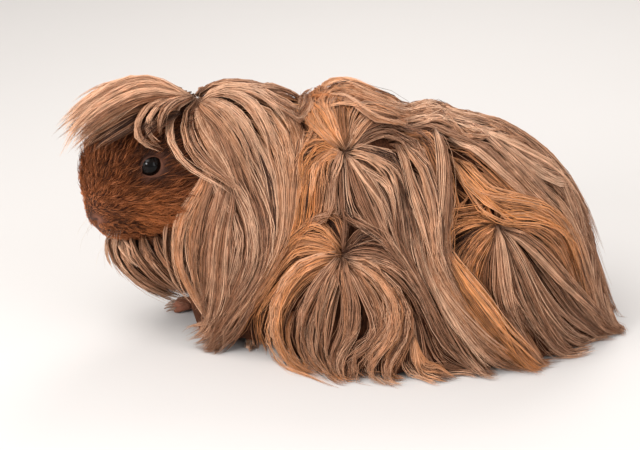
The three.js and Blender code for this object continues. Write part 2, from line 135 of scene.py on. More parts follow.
def feed(tree, value, socket):
    # a constant is set on the socket, and an output is linked to it
    if isinstance(value, (float, int, tuple)):
        socket.default_value = value
    else:
        tree.links.new(value, socket)


def sumNode(tree, operation, a, b):
    node = tree.nodes.new("ShaderNodeMath")
    node.operation = operation
    feed(tree, a, node.inputs[0])
    feed(tree, b, node.inputs[1])
    return node.outputs[0]


def fieldNode(tree, name):
    node = tree.nodes.new("ShaderNodeAttribute")
    node.attribute_name = name
    return node.outputs["Fac"]


def noiseNode(tree, scale, detail=2, stretch=(1, 1, 1)):
    place = tree.nodes.new("ShaderNodeTexCoord")
    mapping = tree.nodes.new("ShaderNodeMapping")
    mapping.inputs["Scale"].default_value = stretch
    noise = tree.nodes.new("ShaderNodeTexNoise")
    noise.inputs["Scale"].default_value = scale
    noise.inputs["Detail"].default_value = detail
    tree.links.new(place.outputs["Object"], mapping.inputs["Vector"])
    tree.links.new(mapping.outputs["Vector"], noise.inputs["Vector"])
    return noise.outputs["Fac"]


def rampNode(tree, factor, *stops):
    # colours blended through (place, colour) stops
    node = tree.nodes.new("ShaderNodeValToRGB")
    marks = node.color_ramp.elements
    marks[0].position, marks[0].color = stops[0]
    marks[1].position, marks[1].color = stops[-1]
    for place, shade in stops[1:-1]:
        marks.new(place).color = shade
    tree.links.new(factor, node.inputs["Fac"])
    return node.outputs["Color"]


def rangeNode(tree, value, *limits):
    node = tree.nodes.new("ShaderNodeMapRange")
    for limit, label in zip(limits, ("From Min", "From Max", "To Min", "To Max")):
        feed(tree, limit, node.inputs[label])
    tree.links.new(value, node.inputs["Value"])
    return node.outputs["Result"]


def mixNode(tree, blend, factor, a, b):
    node = tree.nodes.new("ShaderNodeMix")
    node.data_type = "RGBA"
    node.blend_type = blend
    for value, socket in ((factor, node.inputs[0]), (a, node.inputs[6]), (b, node.inputs[7])):
        feed(tree, value, socket)
    return node.outputs[2]


def bumpNode(tree, height, strength, distance):
    node = tree.nodes.new("ShaderNodeBump")
    node.inputs["Strength"].default_value = strength
    node.inputs["Distance"].default_value = distance
    tree.links.new(height, node.inputs["Height"])
    return node.outputs["Normal"]


# ---- the room: camera, lights and floor
room = {"target": (-10.5, 0, 52), "distance": 889, "elevation": 20, "lens": 100, "sensor": 36, "sky": 0.64}
lights = {  # place, size, power, tint
    "keyLight": ((-430, -420, 1000), 800, 8.4, (1, 0.98, 0.95)),
    "lowLight": ((-900, -420, 220), 600, 2, (1, 0.98, 0.96)),
    "fillLight": ((700, -600, 450), 700, 3.2, (0.97, 0.98, 1)),
    "rimLight": ((200, 750, 800), 600, 4.5, (1, 0.98, 0.95)),
    "catchLight": ((-509, -677, 457), 230, 3.6, (1, 1, 1)),
}
floorForm = {"front": -2600, "bend": 1200, "radius": 900, "top": 3200, "half": 3000}
halfView = (320, 225)  # the middle of a view 640 wide and 450 high
tilt = math.radians(room["elevation"])
lookWay = np.array([0, math.cos(tilt), -math.sin(tilt)])
viewUp = np.array([0, math.sin(tilt), math.cos(tilt)])
lensPlace = np.array(room["target"]) - lookWay * room["distance"]
focal = 2 * halfView[0] * room["lens"] / room["sensor"]


def seenAt(place):
    # where places fall on the camera's view, in steps across and down it
    off = place - lensPlace
    depth = off @ lookWay
    right, up = focal * off[..., 0] / depth, focal * (off @ viewUp) / depth
    return np.stack([halfView[0] + right, halfView[1] - up], -1)


def atDepth(x, y, depth):
    # the place that falls at x, y on the view and lies at a depth across the animal
    x, y, depth = (np.asarray(v, float) for v in (x, y, depth))
    right = ((x - halfView[0]) / focal)[..., None] * np.array([1, 0, 0])
    up = ((halfView[1] - y) / focal)[..., None] * viewUp
    way = lookWay + right + up
    return lensPlace + way * ((depth - lensPlace[1]) / way[..., 1])[..., None]


def lookAt(obj, place, target):
    obj.location = [c * mm for c in place]
    way = np.array(target, float) - np.array(place, float)
    obj.rotation_euler = Vector(way).to_track_quat("-Z", "Y").to_euler()


def softLight(name, place, size, power, tint):
    light = bpy.data.lights.new(name, "AREA")
    light.shape = "DISK"
    light.size = size * mm
    light.energy = power
    light.color = tint
    lookAt(newObject(name, light), place, room["target"])


def paperFloor():
    # a floor that rises behind the animal in a wide curve
    k = floorForm
    profile = [(y, 0.0) for y in np.linspace(k["front"], k["bend"], 12)]
    profile += [
        (k["bend"] + k["radius"] * math.sin(a), k["radius"] - k["radius"] * math.cos(a))
        for a in np.linspace(0.1, math.pi / 2, 12)
    ]
    profile.append((k["bend"] + k["radius"], k["top"]))
    verts = [(x * mm, y * mm, z * mm) for y, z in profile for x in (-k["half"], k["half"])]
    faces = [(2 * n, 2 * n + 1, 2 * n + 3, 2 * n + 2) for n in range(len(profile) - 1)]
    mesh = bpy.data.meshes.new("floor")
    mesh.from_pydata(verts, [], faces)
    mesh.shade_smooth()
    paper, tree, shader = newFinish("paper", 0.7)
    grain = rampNode(tree, noiseNode(tree, 3), (0, (0.626, 0.602, 0.59, 1)), (1, (0.652, 0.63, 0.617, 1)))
    tree.links.new(grain, shader.inputs["Base Color"])
    mesh.materials.append(paper)
    newObject("floor", mesh)


def setRoom():
    data = bpy.data.cameras.new("camera")
    data.lens = room["lens"]
    data.sensor_width = room["sensor"]
    data.clip_start = 0.05
    camera = newObject("camera", data)
    lookAt(camera, lensPlace, room["target"])
    bpy.context.scene.camera = camera
    for name, light in lights.items():
        softLight(name, *light)
    world = bpy.data.worlds.new("studio")
    world.use_nodes = True
    back = world.node_tree.nodes["Background"]
    back.inputs["Color"].default_value = (1, 0.985, 0.965, 1)
    back.inputs["Strength"].default_value = room["sky"]
    bpy.context.scene.world = world
    bpy.context.scene.view_settings.view_transform = "Standard"
    paperFloor()


setRoom()
print("room set")

# ---- the coat's surface, by x and the turn down from the spine in degrees; negative turns are left
coat = {
    "skirtLevel": 62,
    "grooveDepth": 3.2,
    "grooveWidth": 4,
    "perDegree": 1.5,  # millimetres round the coat for each degree
    "flareReach": 5,
    "flareHeight": 7,
    "flarePitch": 23,
}
rosettes = [(0.5, 29, 26), (-1, 63, 30), (78.5, 46, 30)]  # x, turn and reach of each rosette's swelling
coatTop = line([
    (-80, 113), (-64, 121.5), (-44, 122), (-21, 115), (-2, 120), (24, 113), (56, 108), (84, 97),
    (106, 80), (121, 56), (131, 30), (139.5, 6),
])
coatWidth = line([
    (-80, 40), (-62, 53), (-40, 58), (-18, 58), (10, 66), (58, 67), (88, 59), (112, 43), (129, 24),
    (139.5, 8),
])
coatFloor = line([
    (-80, 34), (-66, 38), (-44, 37), (-30, 48), (-8, 68), (22, 73), (56, 69), (96, 57), (124, 31),
    (139.5, 12),
])
partings = {  # x of each parting at each height
    "mane": line([(-6, -40), (14, -38), (42, -30), (66, -24), (90, -21), (135, -20)]),
    "lock": line([(-6, 57), (18, 52), (44, 42), (66, 35), (90, 31), (135, 31)]),
    "hip": line([(-6, 108), (16, 92), (40, 68), (62, 57), (84, 55), (135, 56)]),
    "rump": line([(-6, 126), (26, 121), (60, 104), (83, 80), (94, 55)]),
}
rosetteParting = line([(-24, 62), (-10, 76), (10, 79), (33, 76)])


def coatRelief(x, turn, level):
    total = 0
    for cx, angle, reach in rosettes:
        dx = x - cx
        dy = (turn - angle) * coat["perDegree"]
        far = np.hypot(dx, dy)
        lobes = 4.2 + 0.75 * np.cos(9 * np.arctan2(dy, dx))
        total = total + lobes * np.exp(-((far / reach) ** 2)) - 3.4 * np.exp(-((far / 5) ** 2))
    for name in ("mane", "lock", "hip"):
        off = (x - partings[name](level)) / coat["grooveWidth"]
        total = total - coat["grooveDepth"] * np.exp(-off * off)
    ridge = (x - partings["hip"](level) + 9) / 9
    total = total + 2.6 * np.exp(-ridge * ridge)
    return total * ease(x, -80, -66) * (1 - ease(x, 112, 136)) * np.minimum(1, level / 10)


def coatPlace(x, turn):
    # past 90 degrees the surface runs outwards over the floor
    side = np.where(turn < 0, -1.0, 1.0)
    steep = np.minimum(np.abs(turn), 90)
    angle = np.radians(steep)
    level = coatTop(x) * np.cos(angle)
    under = np.maximum(0, 1 - level / coat["skirtLevel"]) ** 2
    width = coatWidth(x) * np.sin(angle) ** 0.83 + (coatFloor(x) - coatWidth(x)) * under
    tips = 0.5 + 0.5 * np.cos(2 * np.pi * x / coat["flarePitch"])
    width = width + coat["flareReach"] * tips * np.exp(-level / coat["flareHeight"])
    lean = np.arctan2(width / coatWidth(x), level / coatTop(x))
    out = coatRelief(x, steep, level)
    atNeck = 1 - ease(x, -80, -44)
    tuck = 9 * atNeck * np.maximum(0, 1 - level / 46) ** 2
    lead = np.where(side > 0, 9 * atNeck * np.sin(angle), 0)
    beyond = np.maximum(np.abs(turn) - 90, 0) * coat["perDegree"]
    slope = (coatFloor(x + 2) - coatFloor(x - 2)) / 4
    stretch = beyond / np.hypot(slope, 1)
    return np.stack(
        [
            x + tuck - lead - slope * stretch,
            side * (np.maximum(0, width + out * np.sin(lean)) + stretch),
            np.maximum(0, level + out * np.cos(lean)),
        ],
        -1,
    )


def coatNormal(x, turn):
    steep = np.clip(turn, -89, 89)
    alongX = coatPlace(x + 1, steep) - coatPlace(x - 1, steep)
    alongTurn = coatPlace(x, steep + 1) - coatPlace(x, steep - 1)
    return unit(np.cross(alongX, alongTurn))


# ---- how the coat lies: strokes of the comb drawn on the camera's view and laid on the left side
gridXs, gridTurns = np.meshgrid(np.arange(-90, 143, 1.0), np.arange(-97, 36, 1.0), indexing="ij")
gridPlaces = coatPlace(gridXs, gridTurns)
gridSeen = seenAt(gridPlaces)
gridFaces = ((lensPlace - gridPlaces) * coatNormal(gridXs, gridTurns)).sum(-1) > 0
gridSeen[~gridFaces] += 9999


def onCoat(stroke):
    # (x, turn) places of the coat under the points of a stroke
    spots = []
    for point in stroke:
        away = ((gridSeen - point) ** 2).sum(-1)
        spot = np.unravel_index(away.argmin(), away.shape)
        spots.append((gridXs[spot], gridTurns[spot]))
    return np.array(spots)


combing = {"reach": 7, "whorlReach": 8, "whorlPull": 1.3, "memory": 0.5}
combStrokes = {
    "mane": [
        [(203, 97), (222, 92), (242, 90), (262, 98), (280, 116), (291, 136), (297, 158), (298, 185),
         (297, 212), (291, 245), (280, 275), (262, 302), (240, 325), (218, 347)],
        [(205, 101), (226, 103), (248, 116), (264, 138), (274, 168), (277, 205), (272, 245), (258, 280),
         (236, 312), (216, 336), (196, 346)],
        [(202, 104), (213, 122), (229, 145), (246, 170), (258, 195), (264, 222), (263, 253), (251, 283),
         (232, 310), (214, 334), (193, 346)],
        [(198, 104), (204, 125), (216, 150), (232, 172), (248, 192), (256, 215), (256, 245), (246, 275),
         (230, 304), (214, 332), (194, 345)],
        [(195, 104), (195, 130), (205, 153), (221, 173), (238, 192), (247, 214), (246, 245), (237, 275),
         (225, 303), (214, 330), (198, 342)],
        [(190, 105), (185, 128), (190, 150), (203, 168), (222, 188), (235, 208), (238, 235), (232, 265),
         (224, 295), (216, 322), (200, 340)],
        [(197, 186), (207, 198), (216, 214), (220, 240), (218, 270), (217, 300), (216, 325)],
        [(197, 192), (203, 210), (206, 235), (206, 262), (209, 290), (215, 316)],
        [(199, 189), (185, 209), (177, 238), (178, 268), (190, 294), (204, 312), (216, 320)],
        [(190, 195), (176, 215), (169, 235), (167, 255), (171, 280), (183, 300), (202, 317)],
        [(171, 226), (166, 240), (165, 252), (168, 268)],
        [(268, 296), (262, 318), (264, 338), (274, 352)],
    ],
    "upper": [
        [(341, 145), (327, 135), (314, 121), (307, 107), (306, 97), (313, 89)],
        [(343, 145), (331, 131), (323, 119), (319, 106), (320, 97), (330, 91)],
        [(345, 144), (339, 129), (335, 115), (336, 105), (344, 98), (357, 95)],
        [(347, 143), (345, 126), (347, 115), (355, 107), (368, 104), (382, 107), (394, 112)],
        [(350, 143), (356, 129), (368, 120), (382, 117), (397, 121), (404, 129)],
        [(352, 145), (364, 133), (377, 128), (390, 129), (399, 137)],
        [(353, 147), (367, 141), (380, 139), (392, 144)],
        [(354, 150), (367, 150), (380, 155), (390, 163), (396, 178)],
        [(352, 150), (364, 157), (380, 167), (390, 180), (394, 200), (395, 223)],
        [(349, 153), (360, 168), (373, 183), (382, 202), (388, 223), (392, 239)],
        [(346, 155), (352, 172), (362, 190), (372, 208), (382, 227)],
        [(344, 155), (346, 172), (348, 190), (355, 206), (365, 223)],
        [(341, 154), (337, 172), (336, 190), (338, 206)],
        [(339, 152), (329, 162), (323, 177), (321, 194), (320, 213)],
        [(337, 151), (323, 155), (315, 170), (313, 188), (311, 209)],
        [(335, 149), (319, 150), (307, 160), (303, 174), (303, 190), (303, 209), (300, 222)],
        [(334, 147), (318, 145), (305, 150), (300, 165), (300, 185), (299, 205)],
    ],
    "lower": [
        [(336, 259), (317, 260), (298, 271), (283, 292), (275, 315), (275, 335), (283, 355), (298, 368),
         (321, 377), (346, 383)],
        [(336, 261), (321, 271), (308, 289), (298, 312), (296, 335), (302, 358), (316, 374), (334, 380)],
        [(339, 263), (329, 279), (321, 302), (316, 325), (315, 343), (320, 360), (332, 376)],
        [(341, 264), (337, 289), (334, 310), (335, 328), (333, 346), (328, 362)],
        [(344, 264), (349, 281), (356, 302), (357, 322), (348, 336), (339, 347), (325, 361)],
        [(348, 264), (365, 283), (377, 305), (384, 322), (379, 338), (362, 350), (349, 361), (347, 370),
         (357, 379), (374, 383)],
        [(349, 262), (370, 273), (385, 292), (393, 312), (391, 331), (379, 348), (366, 361), (365, 371),
         (375, 379), (396, 381)],
        [(352, 260), (372, 267), (393, 281), (405, 302), (409, 322), (404, 340), (393, 353), (386, 365),
         (393, 375), (413, 383)],
        [(354, 258), (375, 261), (395, 271), (411, 292), (417, 310), (415, 335), (411, 352), (416, 366),
         (430, 375), (452, 380)],
        [(354, 256), (370, 249), (387, 250), (400, 260)],
        [(349, 255), (357, 242), (362, 231)],
        [(343, 255), (342, 238), (341, 223)],
        [(339, 255), (331, 240), (320, 226), (311, 219)],
        [(336, 256), (321, 242), (305, 237), (291, 242)],
        [(335, 257), (317, 250), (301, 247), (289, 254)],
        [(335, 258), (313, 256), (296, 264), (287, 279), (279, 292)],
        [(292, 257), (280, 276), (267, 299), (262, 321), (265, 340), (275, 357), (293, 370)],
    ],
    "lock": [
        [(392, 157), (396, 177), (396, 205), (395, 249), (405, 276), (415, 301), (427, 325), (438, 345),
         (452, 358)],
        [(400, 148), (402, 162), (409, 181), (417, 205), (422, 225), (428, 249), (445, 296), (460, 318),
         (467, 339), (476, 356), (498, 369)],
        [(404, 143), (414, 154), (426, 172), (433, 191), (438, 215), (439, 249), (446, 274), (461, 291),
         (476, 312), (493, 339), (508, 357), (530, 370)],
        [(436, 128), (441, 152), (445, 177), (447, 205), (444, 247), (452, 267), (467, 287), (482, 310),
         (498, 331), (517, 353), (552, 373)],
        [(420, 130), (430, 150), (437, 172), (442, 196), (444, 225), (442, 250)],
        [(450, 300), (462, 325), (480, 347), (504, 362)],
    ],
    "hip": [
        [(494, 223), (476, 220), (463, 212), (455, 201)],
        [(491, 225), (471, 227), (456, 234), (450, 246)],
        [(495, 225), (476, 230), (461, 238), (452, 252)],
        [(496, 227), (480, 238), (467, 255), (462, 272), (466, 289)],
        [(498, 228), (487, 244), (478, 263), (476, 281), (480, 303)],
        [(499, 229), (494, 252), (491, 276), (491, 302), (498, 324), (509, 343)],
        [(501, 230), (501, 252), (504, 276), (511, 298), (521, 324), (535, 345)],
        [(503, 230), (513, 252), (521, 274), (530, 300), (541, 324), (554, 346)],
        [(503, 228), (523, 255), (544, 285), (566, 308), (593, 323), (622, 331)],
        [(505, 226), (526, 237), (547, 259), (566, 282), (584, 300), (603, 318), (622, 329)],
        [(506, 223), (529, 226), (553, 240), (566, 256), (575, 277), (586, 294)],
        [(535, 342), (552, 352), (576, 355)],
        [(560, 330), (585, 338), (612, 337)],
    ],
    "rump": [
        [(457, 157), (467, 178), (481, 194), (500, 203), (520, 207), (531, 207), (550, 216), (566, 234),
         (575, 256), (580, 276), (588, 292)],
        [(456, 154), (467, 165), (481, 181), (496, 188), (512, 193), (535, 201), (555, 213), (570, 232)],
        [(451, 138), (467, 143), (486, 160), (505, 180), (524, 194)],
        [(452, 132), (480, 145), (503, 168), (526, 187), (549, 207), (572, 230), (587, 260), (595, 282)],
        [(440, 124), (480, 130), (511, 154), (538, 170), (563, 181), (579, 199), (587, 222), (593, 246),
         (597, 274)],
        [(409, 125), (428, 128), (457, 129), (476, 132), (495, 143), (514, 161)],
        [(396, 112), (414, 107), (430, 109), (457, 112), (476, 118), (505, 130), (535, 150), (560, 176),
         (578, 206), (589, 240), (597, 285), (606, 312)],
    ],
}
topStrokes = [[(-17, 2), (0, 2), (24, 2), (44, 3)], [(58, 2), (82, 3), (106, 4), (122, 6), (136, 8)]]
whorls = [(x, abs(turn)) for x, turn in onCoat([(343, 149), (341, 259), (500, 225)])]
combXs = np.arange(-100, 152, 2.0)
combTurns = np.arange(0, 132, 2.0)


def combGrid():
    at, way = [], []
    laid = [onCoat(stroke) for group in combStrokes.values() for stroke in group]
    for stroke in laid + [np.array(stroke, float) for stroke in topStrokes]:
        stroke = stroke[: max(2, (stroke[:, 1] < 4).sum())]
        points = np.stack([stroke[:, 0], np.abs(stroke[:, 1]) * coat["perDegree"]], -1)
        for a, b in zip(points[:-1], points[1:]):
            length = np.hypot(*(b - a))
            count = max(1, round(length / 3))
            for k in range(count if length > 0.5 else 0):
                at.append(a + (b - a) * (k + 0.5) / count)
                way.append((b - a) / length)
    at, way = np.array(at), np.array(way)
    place = np.stack(np.meshgrid(combXs, combTurns * coat["perDegree"], indexing="ij"), -1)
    away = ((place[:, :, None] - at) ** 2).sum(-1)
    weight = np.exp(-away / combing["reach"] ** 2) + 1e-5 / (1 + away / 400) ** 2
    flow = np.einsum("ijk,kl->ijl", weight, way) / weight.sum(-1)[..., None]
    for cx, angle in whorls:
        off = place - (cx, angle * coat["perDegree"])
        far = np.linalg.norm(off, axis=-1, keepdims=True)
        pull = combing["whorlPull"] * np.exp(-((far / combing["whorlReach"]) ** 2))
        flow = flow + pull * off / np.maximum(far, 1e-6)
    return flow


combed = combGrid()


def combAt(x, turn):
    # the way that the hair lies, as millimetres rearwards and down
    i = np.clip((x - combXs[0]) / 2, 0, len(combXs) - 1.001)
    j = np.clip(np.abs(turn) / 2, 0, len(combTurns) - 1.001)
    i0, j0 = i.astype(int), j.astype(int)
    u, v = (i - i0)[:, None], (j - j0)[:, None]
    low = combed[i0, j0] * (1 - u) + combed[i0 + 1, j0] * u
    high = combed[i0, j0 + 1] * (1 - u) + combed[i0 + 1, j0 + 1] * u
    return low * (1 - v) + high * v


frontLimit = line([(0, -80), (52, -80), (62, -85), (70, -81), (78, -70), (84, -65), (90, -73), (100, -80)])


def combPath(x, turn, length, steps):
    # the way of a hair over the coat, one (x, turn) point for each step
    x, turn = x.copy(), turn.copy()
    stride = length / steps
    path = [np.stack([x, turn], -1)]
    first = np.where(turn < 0, -1.0, 1.0)
    heading = unit(combAt(x, turn))
    heading[:, 1] *= first
    for _ in range(steps):
        side = np.where(turn < 0, -1.0, 1.0)
        flow = combAt(x, turn)
        flow[:, 1] = side * np.where(side == first, flow[:, 1], np.abs(flow[:, 1]))  # it falls over the spine
        pace = np.clip(np.linalg.norm(flow, axis=-1) / 0.45, 0.1, 1)  # hair ends where two streams meet
        heading = unit(heading * combing["memory"] + unit(flow) * (1 - combing["memory"]))
        steep = np.clip(turn, -88, 88)
        perX = np.linalg.norm(coatPlace(x + 1, steep) - coatPlace(x - 1, steep), axis=-1) / 2
        perTurn = np.linalg.norm(coatPlace(x, steep + 1) - coatPlace(x, steep - 1), axis=-1) / 2
        perTurn = np.where(np.abs(turn) > 88, coat["perDegree"], np.maximum(perTurn, 0.6))
        x = x + heading[:, 0] * stride * pace / np.clip(perX, 0.9, 3)
        turn = turn + heading[:, 1] * stride * pace / perTurn
        x = np.clip(x, frontLimit(np.abs(turn)), 141)
        path.append(np.stack([x, turn], -1))
    return np.stack(path, 1)


def near(x, turn, places):
    # a value blended from those at a few (x, turn, value) places
    table = np.array(places, float)
    far = (x[:, None] - table[:, 0]) ** 2
    far = far + ((np.abs(turn)[:, None] - table[:, 1]) * coat["perDegree"]) ** 2
    weight = np.exp(-far / 15**2) + 1e-6 / (1 + far / 400) ** 2
    return (weight * table[:, 2]).sum(1) / weight.sum(1)


hairLength = [  # x, turn, length
    (-74, 5, 122), (-60, 5, 118), (-45, 5, 112), (-30, 5, 104), (-70, 30, 100), (-45, 30, 92),
    (-28, 30, 88), (-76, 55, 78), (-45, 55, 72), (-70, 75, 46), (-45, 75, 46),
    (0, 5, 74), (-14, 10, 70), (18, 8, 82), (0, 29, 68), (-12, 40, 62), (14, 40, 62),
    (0, 54, 26), (-1, 63, 70), (-16, 66, 66), (16, 66, 66), (0, 80, 34), (24, 45, 64),
    (36, 6, 130), (36, 30, 116), (42, 50, 96), (52, 66, 74), (70, 80, 44),
    (78, 46, 78), (78, 36, 34), (66, 52, 72), (92, 52, 74), (88, 70, 52), (104, 82, 34),
    (62, 6, 104), (84, 6, 96), (104, 8, 82), (120, 10, 66), (100, 26, 84), (120, 40, 60),
    (128, 70, 36),
]


def strokeField(strokes):
    # how near a place is to any of some strokes, each (points, half width, strength), from 0 to 1
    laid = []
    for points, width, strength in strokes:
        spots = onCoat(points)
        laid.append((np.stack([spots[:, 0], np.abs(spots[:, 1]) * coat["perDegree"]], -1), width, strength))

    def valueAt(x, turn):
        total = np.zeros(len(x))
        place = np.stack([x, np.abs(turn) * coat["perDegree"]], -1)
        for points, width, strength in laid:
            best = np.full(len(x), 1e9)
            for a, b in zip(points[:-1], points[1:]):
                ab = b - a
                t = np.clip(((place - a) @ ab) / max(ab @ ab, 1e-6), 0, 1)
                best = np.minimum(best, np.linalg.norm(place - a - t[:, None] * ab, axis=-1))
            total = np.maximum(total, strength * np.exp(-((best / width) ** 2)))
        return total

    return valueAt


goldAt = strokeField([
    ([(335, 140), (318, 124), (308, 106), (312, 90), (330, 90)], 4.5, 0.9),
    ([(340, 130), (334, 112), (342, 97), (365, 95), (392, 104)], 4, 0.7),
    ([(330, 151), (312, 157), (304, 178), (303, 200), (301, 220)], 4.5, 1.0),
    ([(326, 158), (315, 175), (312, 205)], 3.5, 0.8),
    ([(330, 259), (300, 269), (283, 292), (275, 318), (277, 342), (290, 362), (320, 377), (346, 383)],
     4, 0.9),
    ([(284, 262), (268, 296), (262, 322), (268, 346)], 4.5, 0.9),
    ([(300, 245), (290, 240)], 6, 0.8),
    ([(352, 262), (372, 274), (388, 296), (392, 318)], 2.5, 0.5),
    ([(446, 252), (458, 276), (474, 300), (490, 326), (512, 350), (540, 370)], 5, 0.85),
    ([(456, 180), (452, 200), (452, 225), (456, 245)], 6, 0.9),
    ([(470, 200), (505, 206), (530, 208), (552, 219), (568, 238), (577, 262), (582, 284)], 4, 0.95),
    ([(496, 228), (480, 244), (472, 268), (472, 292)], 5, 0.8),
    ([(462, 222), (485, 224)], 7, 0.8),
    ([(520, 226), (548, 240), (566, 262)], 3.5, 0.6),
    ([(392, 360), (398, 376), (416, 384)], 4, 0.5),
])
shadeAt = strokeField([  # where the hair parts: the locks sink there, and their tone is darkened as painted shade
    ([(302, 128), (304, 150), (302, 172), (300, 200), (300, 232), (294, 262), (280, 292), (262, 318)],
     2.6, 0.9),
    ([(300, 222), (320, 217), (345, 217), (370, 228), (390, 240)], 4, 0.55),
    ([(397, 150), (403, 170), (400, 215), (404, 250), (414, 285), (424, 315)], 2.6, 0.6),
    ([(444, 148), (452, 170), (452, 205), (450, 240)], 3.5, 0.7),
    ([(452, 185), (458, 212), (466, 232), (460, 255)], 8, 0.95),
    ([(380, 142), (396, 150)], 4, 0.6),
    ([(315, 146), (304, 146)], 3.5, 0.7),
    ([(455, 160), (470, 172), (486, 186)], 2.4, 0.6),
    ([(300, 330), (330, 350), (372, 352), (410, 352), (440, 354)], 5, 0.35),
    ([(196, 200), (186, 218), (178, 200)], 7, 0.8),
    ([(306, 168), (306, 200)], 6, 0.4),
    ([(270, 175), (258, 210), (262, 240)], 12, 0.22),
    ([(378, 276), (392, 296), (400, 318), (398, 342)], 9, 0.4),
    ([(278, 280), (274, 306), (280, 330), (290, 350)], 9, 0.6),
    ([(176, 198), (181, 210), (176, 226)], 11, 0.75),
    ([(236, 130), (242, 160), (238, 190)], 18, 0.26),
    ([(484, 300), (496, 290), (508, 310)], 14, 0.2),
    ([(462, 190), (474, 200), (470, 225), (474, 250)], 8, 0.45),
    ([(384, 262), (402, 290), (404, 318)], 12, 0.3),
    ([(196, 250), (214, 262), (236, 262), (262, 250)], 16, 0.12),
    ([(232, 326), (248, 330), (262, 332)], 9, 0.5),
])
cheekAt = strokeField([  # the coat leaves the cheek bare
    ([(178, 150), (186, 170), (186, 190), (174, 208)], 8, 1),
])
print("coat combed")


# ---- strands: the coat grows as locks, and each lock is a bundle of hairs about one line
def resample(path, end, count):
    # points at even parts of a path, up to a share of its length
    at = np.linspace(0, 1, count)[None, :] * end[:, None] * (path.shape[1] - 1)
    i = np.minimum(at.astype(int), path.shape[1] - 2)
    t = (at - i)[..., None]
    rows = np.arange(len(path))[:, None]
    return path[rows, i] * (1 - t) + path[rows, i + 1] * t


growth = {
    "steps": 24,
    "rootDepth": 7,
    "gather": 0.4,  # how far the tips of neighbouring locks draw together
    "loose": 0.05,  # share of hairs that stray
    "floorRun": 5,  # how far the tips run out over the floor
}
# hairs in a lock and points along each, half width, height, range of layers, tone (lower for the deeper
# kinds, as painted shade) and its spread, how bare the whorls stay, share of the painted shade, how far a
# lock sinks where the coat is dark
lockKinds = {
    "under": {
        "hairs": 5, "points": 6, "half": 2.2, "height": 0.8, "layers": (-5.0, -2.6),
        "tone": -0.16, "spread": 0.08, "bare": 0, "shaded": 1, "sunk": 1.6,
    },
    "middle": {
        "hairs": 8, "points": 7, "half": 1.7, "height": 0.9, "layers": (-3.0, -0.6),
        "tone": 0.0, "spread": 0.15, "bare": 0, "shaded": 1, "sunk": 1.6,
    },
    "top": {
        "hairs": 12, "points": 8, "half": 1.9, "height": 1.3, "layers": (-1.0, 1.1),
        "tone": 0.08, "spread": 0.18, "bare": 0.7, "shaded": 0.7, "sunk": 0,
    },
}
lockWidth = line([(0, 0.35), (0.3, 1), (0.65, 0.85), (0.88, 0.4), (1, 0.1)])


def scatter(count, thinning):
    # root places over one side, kept apart from each other, and thinner round the whorls
    cx, ct = rng.uniform(-80, 136, count * 14), rng.uniform(0.5, 88, count * 14)
    want = 0.5 + 0.4 * np.exp(-((ct / 45) ** 2)) + 0.5 * np.exp(-((ct / 8) ** 2))
    for x, angle in whorls:
        far = np.hypot(cx - x, (ct - angle) * coat["perDegree"])
        want = want * (1 - thinning * np.exp(-((far / 10) ** 2)))
    want = want * np.where(cx < -20, 1.15, 1)
    flat = np.stack([cx, ct * coat["perDegree"]], -1)
    chosen = []
    nearest = np.full(len(cx), 400.0)
    for _ in range(count):
        score = nearest * want * rng.uniform(0.3, 1, len(cx))
        k = int(score.argmax())
        chosen.append(k)
        nearest = np.minimum(nearest, ((flat - flat[k]) ** 2).sum(-1))
    return cx[chosen], ct[chosen]


def bundle(lines, normals, hairs, points, ends, half, tall):
    # hairs about each lock's line, wide in the middle and drawn together at the tip
    lock = np.repeat(np.arange(len(lines)), hairs)
    n = len(lock)
    place = rng.uniform(-1, 1, n)
    height = rng.uniform(-0.5, 1, n) * np.sqrt(1 - place**2)
    loose = rng.random(n) < growth["loose"]
    place = place * np.where(loose, rng.uniform(1, 2.2, n), 1)
    end = ends[lock] * rng.uniform(0.8, 1, n)
    at = resample(lines[lock], end, points)
    up = unit(resample(normals[lock], end, points))
    along = np.linspace(0, 1, points)[None, :] * end[:, None]
    tangent = unit(np.gradient(at, axis=1))
    across = unit(np.cross(up, tangent))
    twist = rng.normal(0, 0.8, len(lines))[lock][:, None] * along
    wide = half[lock][:, None] * lockWidth(along / ends[lock][:, None])
    a = place[:, None] * np.cos(twist) - height[:, None] * np.sin(twist)
    h = place[:, None] * np.sin(twist) * 0.6 + height[:, None] * np.cos(twist)
    h = h * tall * (0.35 + 0.65 * lockWidth(along / ends[lock][:, None]))
    phase = rng.uniform(0, 2 * np.pi, n)[:, None]
    sway = a * wide + 0.3 * np.sin(6.5 * along + phase) * ease(along, 0, 0.3)
    sway = sway + np.where(loose, rng.normal(0, 3.5, n), 0)[:, None] * along**2
    h = h + np.where(loose, rng.uniform(0.3, 3.5, n), 0)[:, None] * along**1.5
    at = at + across * sway[..., None] + up * h[..., None]
    thick = rng.uniform(0.75, 1.15, n) * np.where(loose, 0.6, 1)
    return lock, at, place, thick


def streaks(n):
    # single hairs lighter or darker than their lock, a few of them much darker
    return rng.normal(0, 0.12, n) - rng.uniform(0.2, 0.45, n) * (rng.random(n) < 0.14)


